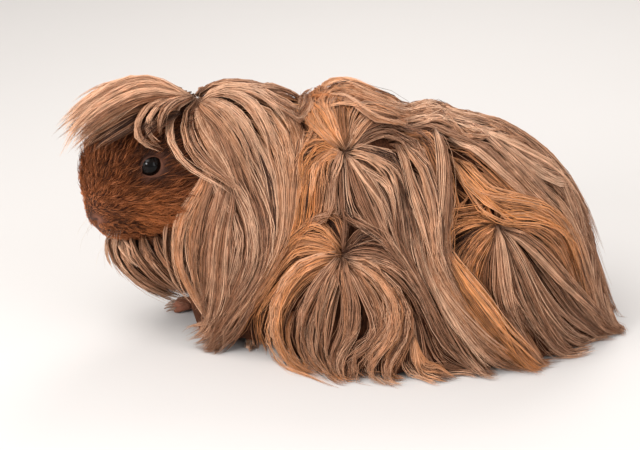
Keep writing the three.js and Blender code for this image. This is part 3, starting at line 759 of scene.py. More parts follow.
def layLocks(kindName, x, turn, length):
    # locks combed over the coat from their roots, as strands with their colours
    kind = lockKinds[kindName]
    steps = growth["steps"]
    n = len(x)
    path = combPath(x, turn, length, steps)
    clear = (cheekAt(path[..., 0].ravel(), path[..., 1].ravel()).reshape(n, -1) < 0.55).all(1)
    x, turn, length, path, n = x[clear], turn[clear], length[clear], path[clear], int(clear.sum())

    # neighbouring tips draw together into larger wisps
    leader = rng.choice(n, max(4, n // 4), replace=False)
    flat = np.stack([x, np.abs(turn) * coat["perDegree"]], -1)
    mine = ((flat[:, None] - flat[leader][None]) ** 2).sum(-1).argmin(1)
    lead = path[leader][mine]
    gap = np.linalg.norm((path - lead) * (1, coat["perDegree"]), axis=-1)
    gap = np.maximum.accumulate(gap, axis=1)[..., None]
    s = np.linspace(0, 1, steps + 1)[None, :, None]
    path = mix(path, lead, growth["gather"] * ease(s, 0.3, 1) * np.exp(-((gap / 12) ** 2)))

    # a lock ends by its own length, or a little way out over the floor
    run = rng.uniform(0, growth["floorRun"], n)
    out = (np.abs(path[:, :, 1]) - 90) * coat["perDegree"]
    passed = out > run[:, None]
    first = np.where(passed.any(1), passed.argmax(1), steps)
    ends = np.maximum(np.minimum(first / steps, 1), 0.12)

    px, pt = path[..., 0], path[..., 1]
    lines, normals = coatPlace(px, pt), coatNormal(px, pt)
    along = np.linspace(0, 1, steps + 1)[None, :]
    s = along * length[:, None]
    toWhorl = np.full(n, 1e9)
    for cx, angle in whorls:
        toWhorl = np.minimum(toWhorl, np.hypot(x - cx, (np.abs(turn) - angle) * coat["perDegree"]))
    fromWhorl = np.exp(-((toWhorl / 9) ** 2))
    deep = 0.6 + growth["rootDepth"] * (1 - fromWhorl)
    layer = rng.uniform(*kind["layers"], n)
    rise = -deep[:, None] * np.exp(-s / 8) - 1.8 * (1 - np.minimum(s / 70, 1))
    depth = rise + layer[:, None] * ease(s, 0, 16)
    depth = depth + 1.6 * np.exp(-((pt / 24) ** 2)) * ease(s, 0, 20)
    dark = shadeAt(px.ravel(), pt.ravel()).reshape(px.shape)
    depth = depth - kind["sunk"] * dark
    front = (x < -66) & (rng.random(n) < 0.5)
    depth = depth - np.where(front, rng.uniform(0, 24, n), 0)[:, None] * np.exp(-((px + 80) / 9) ** 2)
    wave = rng.uniform(0.1, 0.9, n)[:, None] * np.sin(
        2 * np.pi * s / rng.uniform(45, 80, n)[:, None] + rng.uniform(0, 6.3, n)[:, None]
    )
    across = np.cross(normals, unit(np.gradient(lines, axis=1)))
    lines = lines + normals * depth[..., None] + across * (wave * ease(s, 0, 25))[..., None]

    half = kind["half"] * rng.uniform(0.7, 1.35, n)
    lock, place, off, girth = bundle(
        lines, normals, kind["hairs"], kind["points"], ends, half, kind["height"],
    )
    place[..., 2] = np.maximum(place[..., 2], 0.4 + rng.random(len(lock))[:, None] * 2.2)

    m = len(lock)
    gold = np.zeros(n)
    # the shade is painted shade: below, it darkens the tone of locks where the hair parts
    shade = np.zeros(n)
    for share in (0.25, 0.5, 0.75):
        spot = resample(path, ends * share, 2)[:, 1]
        gold = gold + goldAt(spot[:, 0], spot[:, 1]) / 3
        shade = shade + shadeAt(spot[:, 0], spot[:, 1]) / 3
    gold = np.clip(gold * 1.25 * rng.uniform(0.75, 1.15, n), 0, 1)
    low, high = kind["layers"]
    tone = 0.42 + kind["tone"] + rng.normal(0, kind["spread"], n)
    # painted shade: deeper layers of locks are darker, and higher ones lighter
    tone = tone + 0.16 * ((layer - low) / (high - low) - 0.5)
    tone = tone + 0.06 * (x < -24) + 0.05 * ((x > 26) & (x < 56))
    # painted light: the locks are lighter along the spine, where the top catches the light
    tone = tone - 0.6 * shade * kind["shaded"] + 0.16 * np.exp(-((turn / 12) ** 2))
    return {
        "place": place, "tone": np.clip(tone[lock] + streaks(m), 0, 1),
        "gold": np.clip(gold[lock] * rng.uniform(0.5, 1.2, m), 0, 1),
        "girth": girth, "x": x[lock], "level": (coatTop(x) * np.cos(np.radians(np.abs(turn))))[lock],
        "root": np.stack([x[lock] + off * 0.8, turn[lock] + off * 0.5], -1),
    }


def growCoat(side, plan):
    # the whole coat of one side: deep, middle and top locks, with rings of locks out of each whorl
    parts = []
    for kindName in ("under", "middle", "top"):
        x, turn = scatter(plan[kindName], lockKinds[kindName]["bare"])
        length = near(x, turn, hairLength) * rng.uniform(0.82, 1.08, len(x))
        parts.append(layLocks(kindName, x, turn * side, length))
    for cx, angle in whorls:
        for kindName, share in (("top", 1), ("middle", 0.8)):
            count = int(plan["whorl"] * share)
            around = (np.arange(count) + rng.uniform(-0.4, 0.4, count)) * 2 * np.pi / count
            far = rng.uniform(0.4, 3.5, count)
            x = cx + far * np.cos(around)
            turn = angle + far * np.sin(around) / coat["perDegree"]
            length = near(x, turn, hairLength) * rng.uniform(0.75, 1.1, count)
            parts.append(layLocks(kindName, x, turn * side, length))
    return parts


def pick(strands, mask):
    return {key: value[mask] for key, value in strands.items()}


# ---- tubes along strands, by Geometry Nodes
def strandTree():
    # a curve along each strand, and a tube of three sides round it that tapers to the tip
    tree = bpy.data.node_groups.new("strandTubes", "GeometryNodeTree")
    face = tree.interface
    face.new_socket("Geometry", in_out="INPUT", socket_type="NodeSocketGeometry")
    for name, value in (("Width", 0.0004), ("Unevenness", 0.2)):
        face.new_socket(name, in_out="INPUT", socket_type="NodeSocketFloat").default_value = value
    face.new_socket("Material", in_out="INPUT", socket_type="NodeSocketMaterial")
    face.new_socket("Geometry", in_out="OUTPUT", socket_type="NodeSocketGeometry")
    nodes, links = tree.nodes, tree.links
    start = nodes.new("NodeGroupInput")
    end = nodes.new("NodeGroupOutput")
    curves = nodes.new("GeometryNodeMeshToCurve")
    links.new(start.outputs["Geometry"], curves.inputs["Mesh"])
    factor = nodes.new("GeometryNodeSplineParameter")
    shape = nodes.new("ShaderNodeFloatCurve")
    taper = shape.mapping.curves[0]
    taper.points[0].location = (0, 0.6)
    taper.points[1].location = (1, 0.03)
    for x, y in ((0.25, 1), (0.6, 0.95), (0.85, 0.55)):
        taper.points.new(x, y)
    shape.mapping.update()
    links.new(factor.outputs["Factor"], shape.inputs["Value"])
    girth = nodes.new("GeometryNodeInputNamedAttribute")
    girth.data_type = "FLOAT"
    girth.inputs["Name"].default_value = "girth"
    chance = nodes.new("FunctionNodeRandomValue")
    chance.data_type = "FLOAT"
    links.new(sumNode(tree, "SUBTRACT", 1, start.outputs["Unevenness"]), chance.inputs[2])
    chance.inputs[3].default_value = 1
    chance.inputs["Seed"].default_value = 5
    width = start.outputs["Width"]
    for other in (shape.outputs["Value"], girth.outputs["Attribute"], chance.outputs[1]):
        width = sumNode(tree, "MULTIPLY", width, other)
    ring = nodes.new("GeometryNodeCurvePrimitiveCircle")
    ring.mode = "RADIUS"
    ring.inputs["Resolution"].default_value = 3
    ring.inputs["Radius"].default_value = 0.5
    tube = nodes.new("GeometryNodeCurveToMesh")
    links.new(curves.outputs["Curve"], tube.inputs["Curve"])
    links.new(ring.outputs["Curve"], tube.inputs["Profile Curve"])
    links.new(width, tube.inputs["Scale"])
    tube.inputs["Fill Caps"].default_value = True
    smooth = nodes.new("GeometryNodeSetShadeSmooth")
    links.new(tube.outputs["Mesh"], smooth.inputs["Geometry"])
    real = nodes.new("GeometryNodeRealizeInstances")
    links.new(smooth.outputs["Geometry"], real.inputs["Geometry"])
    paint = nodes.new("GeometryNodeSetMaterial")
    links.new(real.outputs["Geometry"], paint.inputs["Geometry"])
    links.new(start.outputs["Material"], paint.inputs["Material"])
    links.new(paint.outputs["Geometry"], end.inputs["Geometry"])
    return tree


tubes = strandTree()


def socketId(name):
    return next(s.identifier for s in tubes.interface.items_tree if s.name == name and s.in_out == "INPUT")


def makeStrands(name, sets, width, material):
    # the sets may differ in how many points their strands have
    counts = [part["place"].shape[:2] for part in sets]
    points = np.concatenate([np.full(hairs, length) for hairs, length in counts])
    place = np.concatenate([part["place"].reshape(-1, 3) for part in sets])
    along = np.concatenate([np.tile(np.linspace(0, 1, length), hairs) for hairs, length in counts])
    strands = {key: np.concatenate([part[key] for part in sets]) for key in ("root", "girth", "tone", "gold")}
    mesh = bpy.data.meshes.new(name + "Lines")
    mesh.vertices.add(len(place))
    mesh.vertices.foreach_set("co", (place * mm).astype(np.float32).ravel())
    start = np.flatnonzero(along < 1)
    mesh.edges.add(len(start))
    mesh.edges.foreach_set("vertices", np.stack([start, start + 1], -1).astype(np.int32).ravel())
    root = strands["root"].astype(float)
    low, high = root.min(0), root.max(0)
    patch = 0.003
    spot = (root - low) / (high - low) * (1 - patch)
    fields = {
        "girth": np.repeat(strands["girth"], points),
        "tone": np.repeat(strands["tone"], points),
        "gold": np.repeat(strands["gold"], points),
        "along": along,
        "spotU": np.repeat(spot[:, 0], points),
        "spotV": np.repeat(spot[:, 1], points),
    }
    for key, values in fields.items():
        addField(mesh, key, values)
    obj = newObject(name, mesh)
    modifier = obj.modifiers.new("tubes", "NODES")
    modifier.node_group = tubes
    modifier[socketId("Width")] = width * mm
    modifier[socketId("Material")] = material
    graph = bpy.context.evaluated_depsgraph_get()
    made = bpy.data.meshes.new_from_object(obj.evaluated_get(graph))
    obj.modifiers.remove(modifier)
    obj.data = made
    made.name = name
    bpy.data.meshes.remove(mesh)

    # each strand's own small patch of the bake map, at its root's place
    corners = readAll(made.loops, "vertex_index", kind=np.int32)
    totals = readAll(made.polygons, "loop_total", kind=np.int32)
    values = {}
    for key in ("along", "spotU", "spotV"):
        values[key] = readAll(made.attributes[key].data, "value")[corners]
    edge = corners % 3
    owner = np.repeat(np.arange(len(totals)), totals)
    hasLast, hasFirst = np.zeros((2, len(totals)), bool)
    hasLast[owner[edge == 2]] = True
    hasFirst[owner[edge == 0]] = True
    wraps = (hasLast & hasFirst & (totals == 4))[owner]
    edge = np.where(wraps & (edge == 0), 3, edge)
    uv = np.stack([values["spotU"] + patch * values["along"], values["spotV"] + patch * edge / 3], -1)
    layer = made.uv_layers.new(name="OFBake")
    layer.data.foreach_set("uv", uv.astype(np.float32).ravel())
    for key in ("spotU", "spotV", "girth"):
        made.attributes.remove(made.attributes[key])
    made.materials.clear()
    made.materials.append(material)
    return obj


def finishPiece(obj, slot, *nodes):
    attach(obj, "root")
    if nodes:
        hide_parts(*nodes)


# ---- finishes
def hairColourGroup():
    # the colour of a hair from its tone, its share of gold and the place along it
    group = bpy.data.node_groups.new("hairColour", "ShaderNodeTree")
    face = group.interface
    for label in ("Dark", "Base", "Light", "Gold"):
        face.new_socket(label, in_out="INPUT", socket_type="NodeSocketColor")
    face.new_socket("Root Shade", in_out="INPUT", socket_type="NodeSocketFloat")
    face.new_socket("Colour", in_out="OUTPUT", socket_type="NodeSocketColor")
    start, end = group.nodes.new("NodeGroupInput"), group.nodes.new("NodeGroupOutput")
    tone = fieldNode(group, "tone")
    lighter = rangeNode(group, tone, 0.38, 1.0)
    darker = rangeNode(group, tone, 0.0, 0.38)
    base = mixNode(group, "MIX", lighter, start.outputs["Base"], start.outputs["Light"])
    base = mixNode(group, "MIX", fieldNode(group, "gold"), base, start.outputs["Gold"])
    base = mixNode(group, "MIX", darker, start.outputs["Dark"], base)
    fleck = rangeNode(group, noiseNode(group, 160), 0.3, 0.7, 0.8, 1.15)
    base = mixNode(group, "MULTIPLY", 1.0, base, fleck)
    rooted = rangeNode(group, fieldNode(group, "along"), 0.0, 0.12, start.outputs["Root Shade"], 0.0)
    base = mixNode(group, "MIX", rooted, base, start.outputs["Dark"])
    group.links.new(base, end.inputs["Colour"])
    return group


hairColour = hairColourGroup()


def hairMaterial(name, rootShade, roughness, gloss, **shades):
    material, tree, shader = newFinish(name, roughness, gloss)
    shade = tree.nodes.new("ShaderNodeGroup")
    shade.node_tree = hairColour
    for label, value in shades.items():
        shade.inputs[label.title()].default_value = colour(*value)
    shade.inputs["Root Shade"].default_value = rootShade
    tree.links.new(shade.outputs["Colour"], shader.inputs["Base Color"])
    return material


coatHair = hairMaterial(
    "coatHair", 0.75, 0.5, 0.25,
    dark=(62, 35, 21), base=(153, 106, 78), light=(228, 184, 152), gold=(222, 146, 86),
)
faceHair = hairMaterial(
    "faceHair", 0.4, 0.6, 0.2,
    dark=(54, 28, 16), base=(114, 62, 35), light=(196, 128, 88), gold=(198, 114, 56),
)
whiskerHair = hairMaterial(
    "whiskerHair", 0.2, 0.4, 0.4,
    dark=(120, 90, 70), base=(190, 165, 145), light=(225, 210, 195), gold=(220, 190, 150),
)

# ---- the coat pieces
coatPieces = {
    "left": {"under": 380, "middle": 340, "top": 450, "whorl": 50},
    "right": {"under": 260, "middle": 170, "top": 240, "whorl": 20},
}


def pieceOf(strands):
    x, level = strands["x"], strands["level"]
    names = np.full(len(x), "rosette_hip", dtype="<U16")
    names[x >= partings["rump"](level)] = "rump_coat"
    names[(level > 94) & (x >= partings["hip"](level))] = "rump_coat"
    names[x < partings["hip"](level)] = "side_lock"
    names[x < partings["lock"](level)] = "rosette_lower"
    names[(x < partings["lock"](level)) & (level > rosetteParting(x))] = "rosette_upper"
    names[x < partings["mane"](level)] = "mane"
    return names


coatHairs = {side: growCoat(side, coatPieces[name]) for name, side in (("left", -1), ("right", 1))}


def undercoat():
    # the dense short hair under the long coat: a thin-walled dome that follows its surface
    k = {"depth": 6.0, "wall": 1.5, "front": -79, "rear": 138, "rounds": 108, "across": 91}
    x = np.linspace(k["front"], k["rear"], k["rounds"])[:, None] + np.zeros(k["across"])
    turn = np.linspace(-88, 88, k["across"])[None, :] + np.zeros((k["rounds"], 1))
    surface, normal = coatPlace(x, turn), coatNormal(x, turn)
    outer = surface - normal * k["depth"]
    inner = surface - normal * (k["depth"] + k["wall"])
    places = np.stack([outer, inner]).reshape(-1, 3)
    places[:, 2] = np.maximum(places[:, 2], 1.2)
    size = k["rounds"] * k["across"]
    faces = []
    for r in range(k["rounds"] - 1):
        for i in range(k["across"] - 1):
            a = r * k["across"] + i
            quad = (a, a + 1, a + 1 + k["across"], a + k["across"])
            faces.append(quad)
            faces.append(tuple(size + v for v in reversed(quad)))
    grid = np.arange(size).reshape(k["rounds"], k["across"])
    rim = np.concatenate([grid[0, :-1], grid[:-1, -1], grid[-1, :0:-1], grid[:0:-1, 0]])
    for a, b in zip(rim, np.roll(rim, -1)):
        faces.append((int(b), int(a), int(a + size), int(b + size)))
    mesh = bpy.data.meshes.new("undercoat")
    mesh.from_pydata((places * mm).tolist(), [], faces)
    work = bmesh.new()
    work.from_mesh(mesh)
    bmesh.ops.recalc_face_normals(work, faces=work.faces)
    work.to_mesh(mesh)
    work.free()
    mesh.shade_smooth()
    return newObject("undercoat", mesh)


def undercoatMaterial():
    material, tree, shader = newFinish("undercoat", 0.75, 0.1)
    streak = noiseNode(tree, 900, 5, (1.0, 1.0, 0.12))
    # dark brown: partly the short hair's own colour, partly painted shade for the gaps between the locks
    shade = rampNode(tree, streak, (0.3, colour(38, 20, 13)), (0.75, colour(104, 62, 40)))
    tree.links.new(shade, shader.inputs["Base Color"])
    tree.links.new(bumpNode(tree, streak, 0.8, 0.0008), shader.inputs["Normal"])
    return material


dense = undercoat()
dense.data.materials.append(undercoatMaterial())
finishPiece(dense, "long_coat")

# ---- the head's own axes: ahead along the nose, up, and towards the animal's left
head = {"centre": (-97.5, -14.6, 94), "yaw": 20, "pitch": 30, "back": -36, "nose": 38.4, "inset": 1.0}
headTop = line([(-36, 4), (-22, 13), (-6, 18.5), (8, 19.5), (19, 16.5), (27, 10), (33, 1), (38.4, -9)])
headBottom = line([(-36, -30), (-20, -39), (0, -41), (14, -38), (26, -32.5), (34, -27), (38.4, -20)])
headWidth = line([(-36, 19), (-22, 25.5), (-8, 27), (6, 25), (18, 20), (28, 15), (34, 12), (38.4, 8)])
yaw, pitch = math.radians(head["yaw"]), math.radians(head["pitch"])
heading = np.array([-math.cos(yaw), -math.sin(yaw), 0])
ahead = heading * math.cos(pitch) - np.array([0, 0, math.sin(pitch)])
upward = heading * math.sin(pitch) + np.array([0, 0, math.cos(pitch)])
leftward = np.array([math.sin(yaw), -math.cos(yaw), 0])


def onHead(forward, side, rise):
    forward, side, rise = (np.asarray(v, float)[..., None] for v in (forward, side, rise))
    return np.array(head["centre"]) + ahead * forward + leftward * side + upward * rise


# ---- locks drawn one family at a time: each stroke on the view, its depths at root and tip, and its look
def smoothLine(points, count):
    # a smooth line through a few points, at even parts of its length
    points = np.array(points, float)
    ends = np.concatenate([2 * points[:1] - points[1:2], points, 2 * points[-1:] - points[-2:-1]])
    fine = []
    for a, b, c, d in zip(ends[:-3], ends[1:-2], ends[2:-1], ends[3:]):
        t = np.linspace(0, 1, 9)[:-1, None]
        square, cube = (2 * a - 5 * b + 4 * c - d) * t**2, (3 * b - a - 3 * c + d) * t**3
        fine.append(0.5 * (2 * b + (c - a) * t + square + cube))
    fine = np.concatenate([*fine, points[-1:]])
    far = np.concatenate([[0], np.cumsum(np.linalg.norm(np.diff(fine, axis=0), axis=1))])
    want = np.linspace(0, far[-1], count)
    return np.stack([np.interp(want, far, fine[:, k]) for k in range(fine.shape[1])], -1)


def lockFamily(stroke=None, **look):
    # one family of locks: its stroke on the view, or its line on the coat's chart or in space
    return {"stroke": stroke, **look}


def drawnLocks(families, centre, points, across=1, share=1):
    # strands of the drawn families: their locks fan out from the stroke towards the tip
    lines, normals, halves, tones, golds, roots = [], [], [], [], [], []
    for family in families:
        onSide = "lift" in family
        inSpace = "places" in family
        stroke = family.get("chart") or family.get("places") or family["stroke"]
        stroke = smoothLine(onCoat(stroke) if onSide and family["stroke"] else stroke, 25)
        if onSide:
            stroke = stroke * (1, across)
        s = np.linspace(0, 1, 25)
        for _ in range(max(2, round(family["locks"] * share))):
            spread = family.get("spread", 2.5)
            jitter = rng.normal(0, 1, 2) * spread
            wander = jitter * (0.3 + 0.7 * s[:, None])
            wander = wander + rng.normal(0, spread * 0.4, 2) * np.sin(np.pi * s[:, None] * rng.uniform(1, 2))
            wander[:, 0] += rng.uniform(-1, 1) * family.get("rootSpread", 0) * (1 - s) ** 2
            if inSpace:
                aside = rng.uniform(-1, 1) * family["reach"] + wander[:, 0]
                wander = np.stack([wander[:, 1], aside, wander[:, 1] * 0.5], -1)
            reach = rng.uniform(family.get("short", 0.8), 1)
            at = resample((stroke + wander)[None], np.array([reach]), 25)[0]
            if onSide:
                lift = family["lift"] * ease(s, 0, 0.2) - 1.5 + rng.uniform(-0.9, 0.9)
                normal = coatNormal(at[:, 0], at[:, 1])
                place = coatPlace(at[:, 0], at[:, 1]) + normal * lift[:, None]
            elif inSpace:
                place = at * (1, across, 1)
                normal = unit(place - centre)
            else:
                depths = family["depths"]
                thick = family.get("thick", 5) * rng.uniform(-1, 1)
                depth = np.interp(s * reach, np.linspace(0, 1, len(depths)), depths)
                depth = depth + thick * (0.4 + 0.6 * s)
                place = atDepth(at[:, 0], at[:, 1], depth)
                if family.get("far") and rng.random() < 0.5:
                    off = place - np.array(head["centre"])
                    place = onHead(off @ ahead, -(off @ leftward), off @ upward)
                normal = unit(place - centre)
            lines.append(place)
            normals.append(normal)
            roots.append(at[0, :2])
            halves.append(family.get("half", 1.6) * rng.uniform(0.7, 1.3))
            tones.append(family["tone"] + rng.normal(0, 0.17))
            golds.append(family.get("gold", 0.1) * rng.uniform(0.5, 1.2) + rng.normal(0, 0.05))
    lines, normals, halves = np.array(lines), np.array(normals), np.array(halves)
    lock, place, off, girth = bundle(lines, normals, 11, points, np.ones(len(lines)), halves, 1.0)
    place[..., 2] = np.maximum(place[..., 2], 0.5)
    n = len(lock)
    tone = np.array(tones)[lock] + streaks(n)
    gold = np.array(golds)[lock] * rng.uniform(0.35, 1.25, n)
    roots = np.array(roots)[lock]
    return {
        "place": place, "tone": np.clip(tone, 0, 1), "gold": np.clip(gold, 0, 1), "girth": girth,
        "root": np.stack([roots[:, 0] + off, roots[:, 1] + rng.normal(0, 1, n)], -1),
    }


forelockFamilies = [
    lockFamily([(190, 98), (178, 91), (158, 81), (136, 79), (112, 87), (91, 101), (72, 116), (60, 130),
        (54, 137)], depths=(-6, -16, -27), locks=26, tone=1.0, spread=2.2, short=0.66, thick=6),
    lockFamily([(189, 99), (172, 91), (150, 85), (128, 89), (106, 100), (88, 114), (72, 130), (63, 145),
        (57, 158)], depths=(-8, -24, -36), locks=28, tone=0.92, spread=3.2, short=0.7, thick=6),
    lockFamily([(188, 98), (170, 94), (148, 92), (126, 99), (106, 110), (90, 124), (76, 140), (67, 151)],
        depths=(-12, -30, -41), locks=26, tone=0.88, spread=3.4, short=0.72, far=True),
    lockFamily([(186, 99), (168, 98), (146, 100), (128, 108), (112, 118), (97, 129), (84, 141),
        (73, 153)], depths=(-12, -31, -43), locks=24, tone=0.72, spread=3.4, short=0.72, far=True),
    lockFamily([(187, 99), (168, 96), (146, 97), (126, 104), (106, 115), (90, 127), (76, 140), (66, 150)],
        depths=(-12, -34, -46), locks=18, tone=0.66, spread=2.6, short=0.8, thick=3),
    lockFamily([(184, 100), (164, 101), (143, 106), (122, 114), (104, 124), (88, 133), (76, 143),
        # the lower families are dark: painted shade under the upper locks of the forelock
        (66, 156)], depths=(-13, -32, -42), locks=20, tone=0.24, spread=3, short=0.74, far=True),
    lockFamily([(182, 102), (162, 105), (143, 112), (124, 122), (107, 132), (92, 141), (80, 150),
        (71, 158)],
        depths=(-14, -34, -43), locks=24, tone=0.14, spread=3.4, short=0.72, thick=3, far=True),
    lockFamily([(180, 106), (162, 110), (146, 118), (131, 128), (116, 137), (100, 147), (88, 156)],
        depths=(-16, -36, -44), locks=22, tone=0.03, spread=3.6, short=0.66, thick=3, far=True),
    lockFamily([(176, 112), (160, 118), (147, 127), (138, 137)],
        depths=(-24, -38, -44), locks=12, tone=0.05, spread=3.4, short=0.66, thick=2, far=True),
    lockFamily([(182, 95), (163, 97), (149, 104), (140, 116), (136, 129), (140, 139), (150, 145),
        (162, 149), (171, 155)],
        depths=(-12, -38, -44), locks=7, tone=0.66, spread=1.5, short=0.85, half=1.2, thick=1.5, far=True),
    lockFamily([(185, 96), (168, 100), (156, 108), (149, 118), (148, 129), (153, 138), (162, 145),
        (170, 151)],
        depths=(-12, -38, -44), locks=7, tone=0.62, spread=1.5, short=0.8, half=1.1, thick=1.5, far=True),
    lockFamily([(184, 95), (168, 99), (155, 106), (147, 116), (142, 128)],
        depths=(-12, -30, -40), locks=9, tone=0.6, spread=3, short=0.7, half=1.1, thick=2, far=True),
    lockFamily([(188, 97), (175, 102), (165, 111), (160, 122), (160, 133), (164, 142)],
        depths=(-13, -36, -44), locks=8, tone=0.52, spread=1.8, short=0.8, half=1.1, thick=1.5, far=True),
    lockFamily([(190, 98), (178, 104), (170, 115), (168, 129), (171, 143), (179, 157), (190, 168),
        (206, 178), (224, 187), (244, 204)],
        depths=(-11, -40, -47, -53), locks=9, tone=0.68,
        spread=1.6, short=0.85, half=1.4, thick=1.2, far=True),
    lockFamily([(193, 99), (185, 108), (180, 119), (181, 133), (186, 148), (195, 161), (209, 173),
        (228, 185), (246, 201)],
        depths=(-10, -36, -45, -53), locks=8, tone=0.56, spread=1.8, short=0.85, thick=1.2, far=True),
    lockFamily([(196, 99), (191, 112), (189, 128), (193, 143), (203, 157), (218, 171), (237, 187),
        (252, 206)],
        depths=(-9, -32, -43, -53), locks=10, tone=0.55, spread=2, short=0.85, thick=1.2, far=True),
    lockFamily([(197, 98), (199, 108), (203, 124), (211, 142), (224, 160), (240, 178)],
        depths=(-8, -26, -40), locks=9, tone=0.6, spread=2.2, short=0.8, thick=1.2, far=True),
    lockFamily([(199, 112), (196, 106), (192, 101), (186, 98)],
        depths=(-8, -7, -6), locks=12, tone=0.5, spread=2.4, short=0.7, half=1.1, thick=6),
    lockFamily([(194, 111), (198, 105), (203, 101), (209, 99)],
        depths=(-8, -7, -6), locks=10, tone=0.5, spread=2.4, short=0.7, half=1.1, thick=6),
]
for family in forelockFamilies:
    family["rootSpread"] = 5
crownLocks = drawnLocks(forelockFamilies, onHead(-14, 0, -14), 8)
print("forelock", len(crownLocks["tone"]), "hairs")
finishPiece(makeStrands("hair_forelock", [crownLocks], 0.41, coatHair), "long_coat", "forelock")

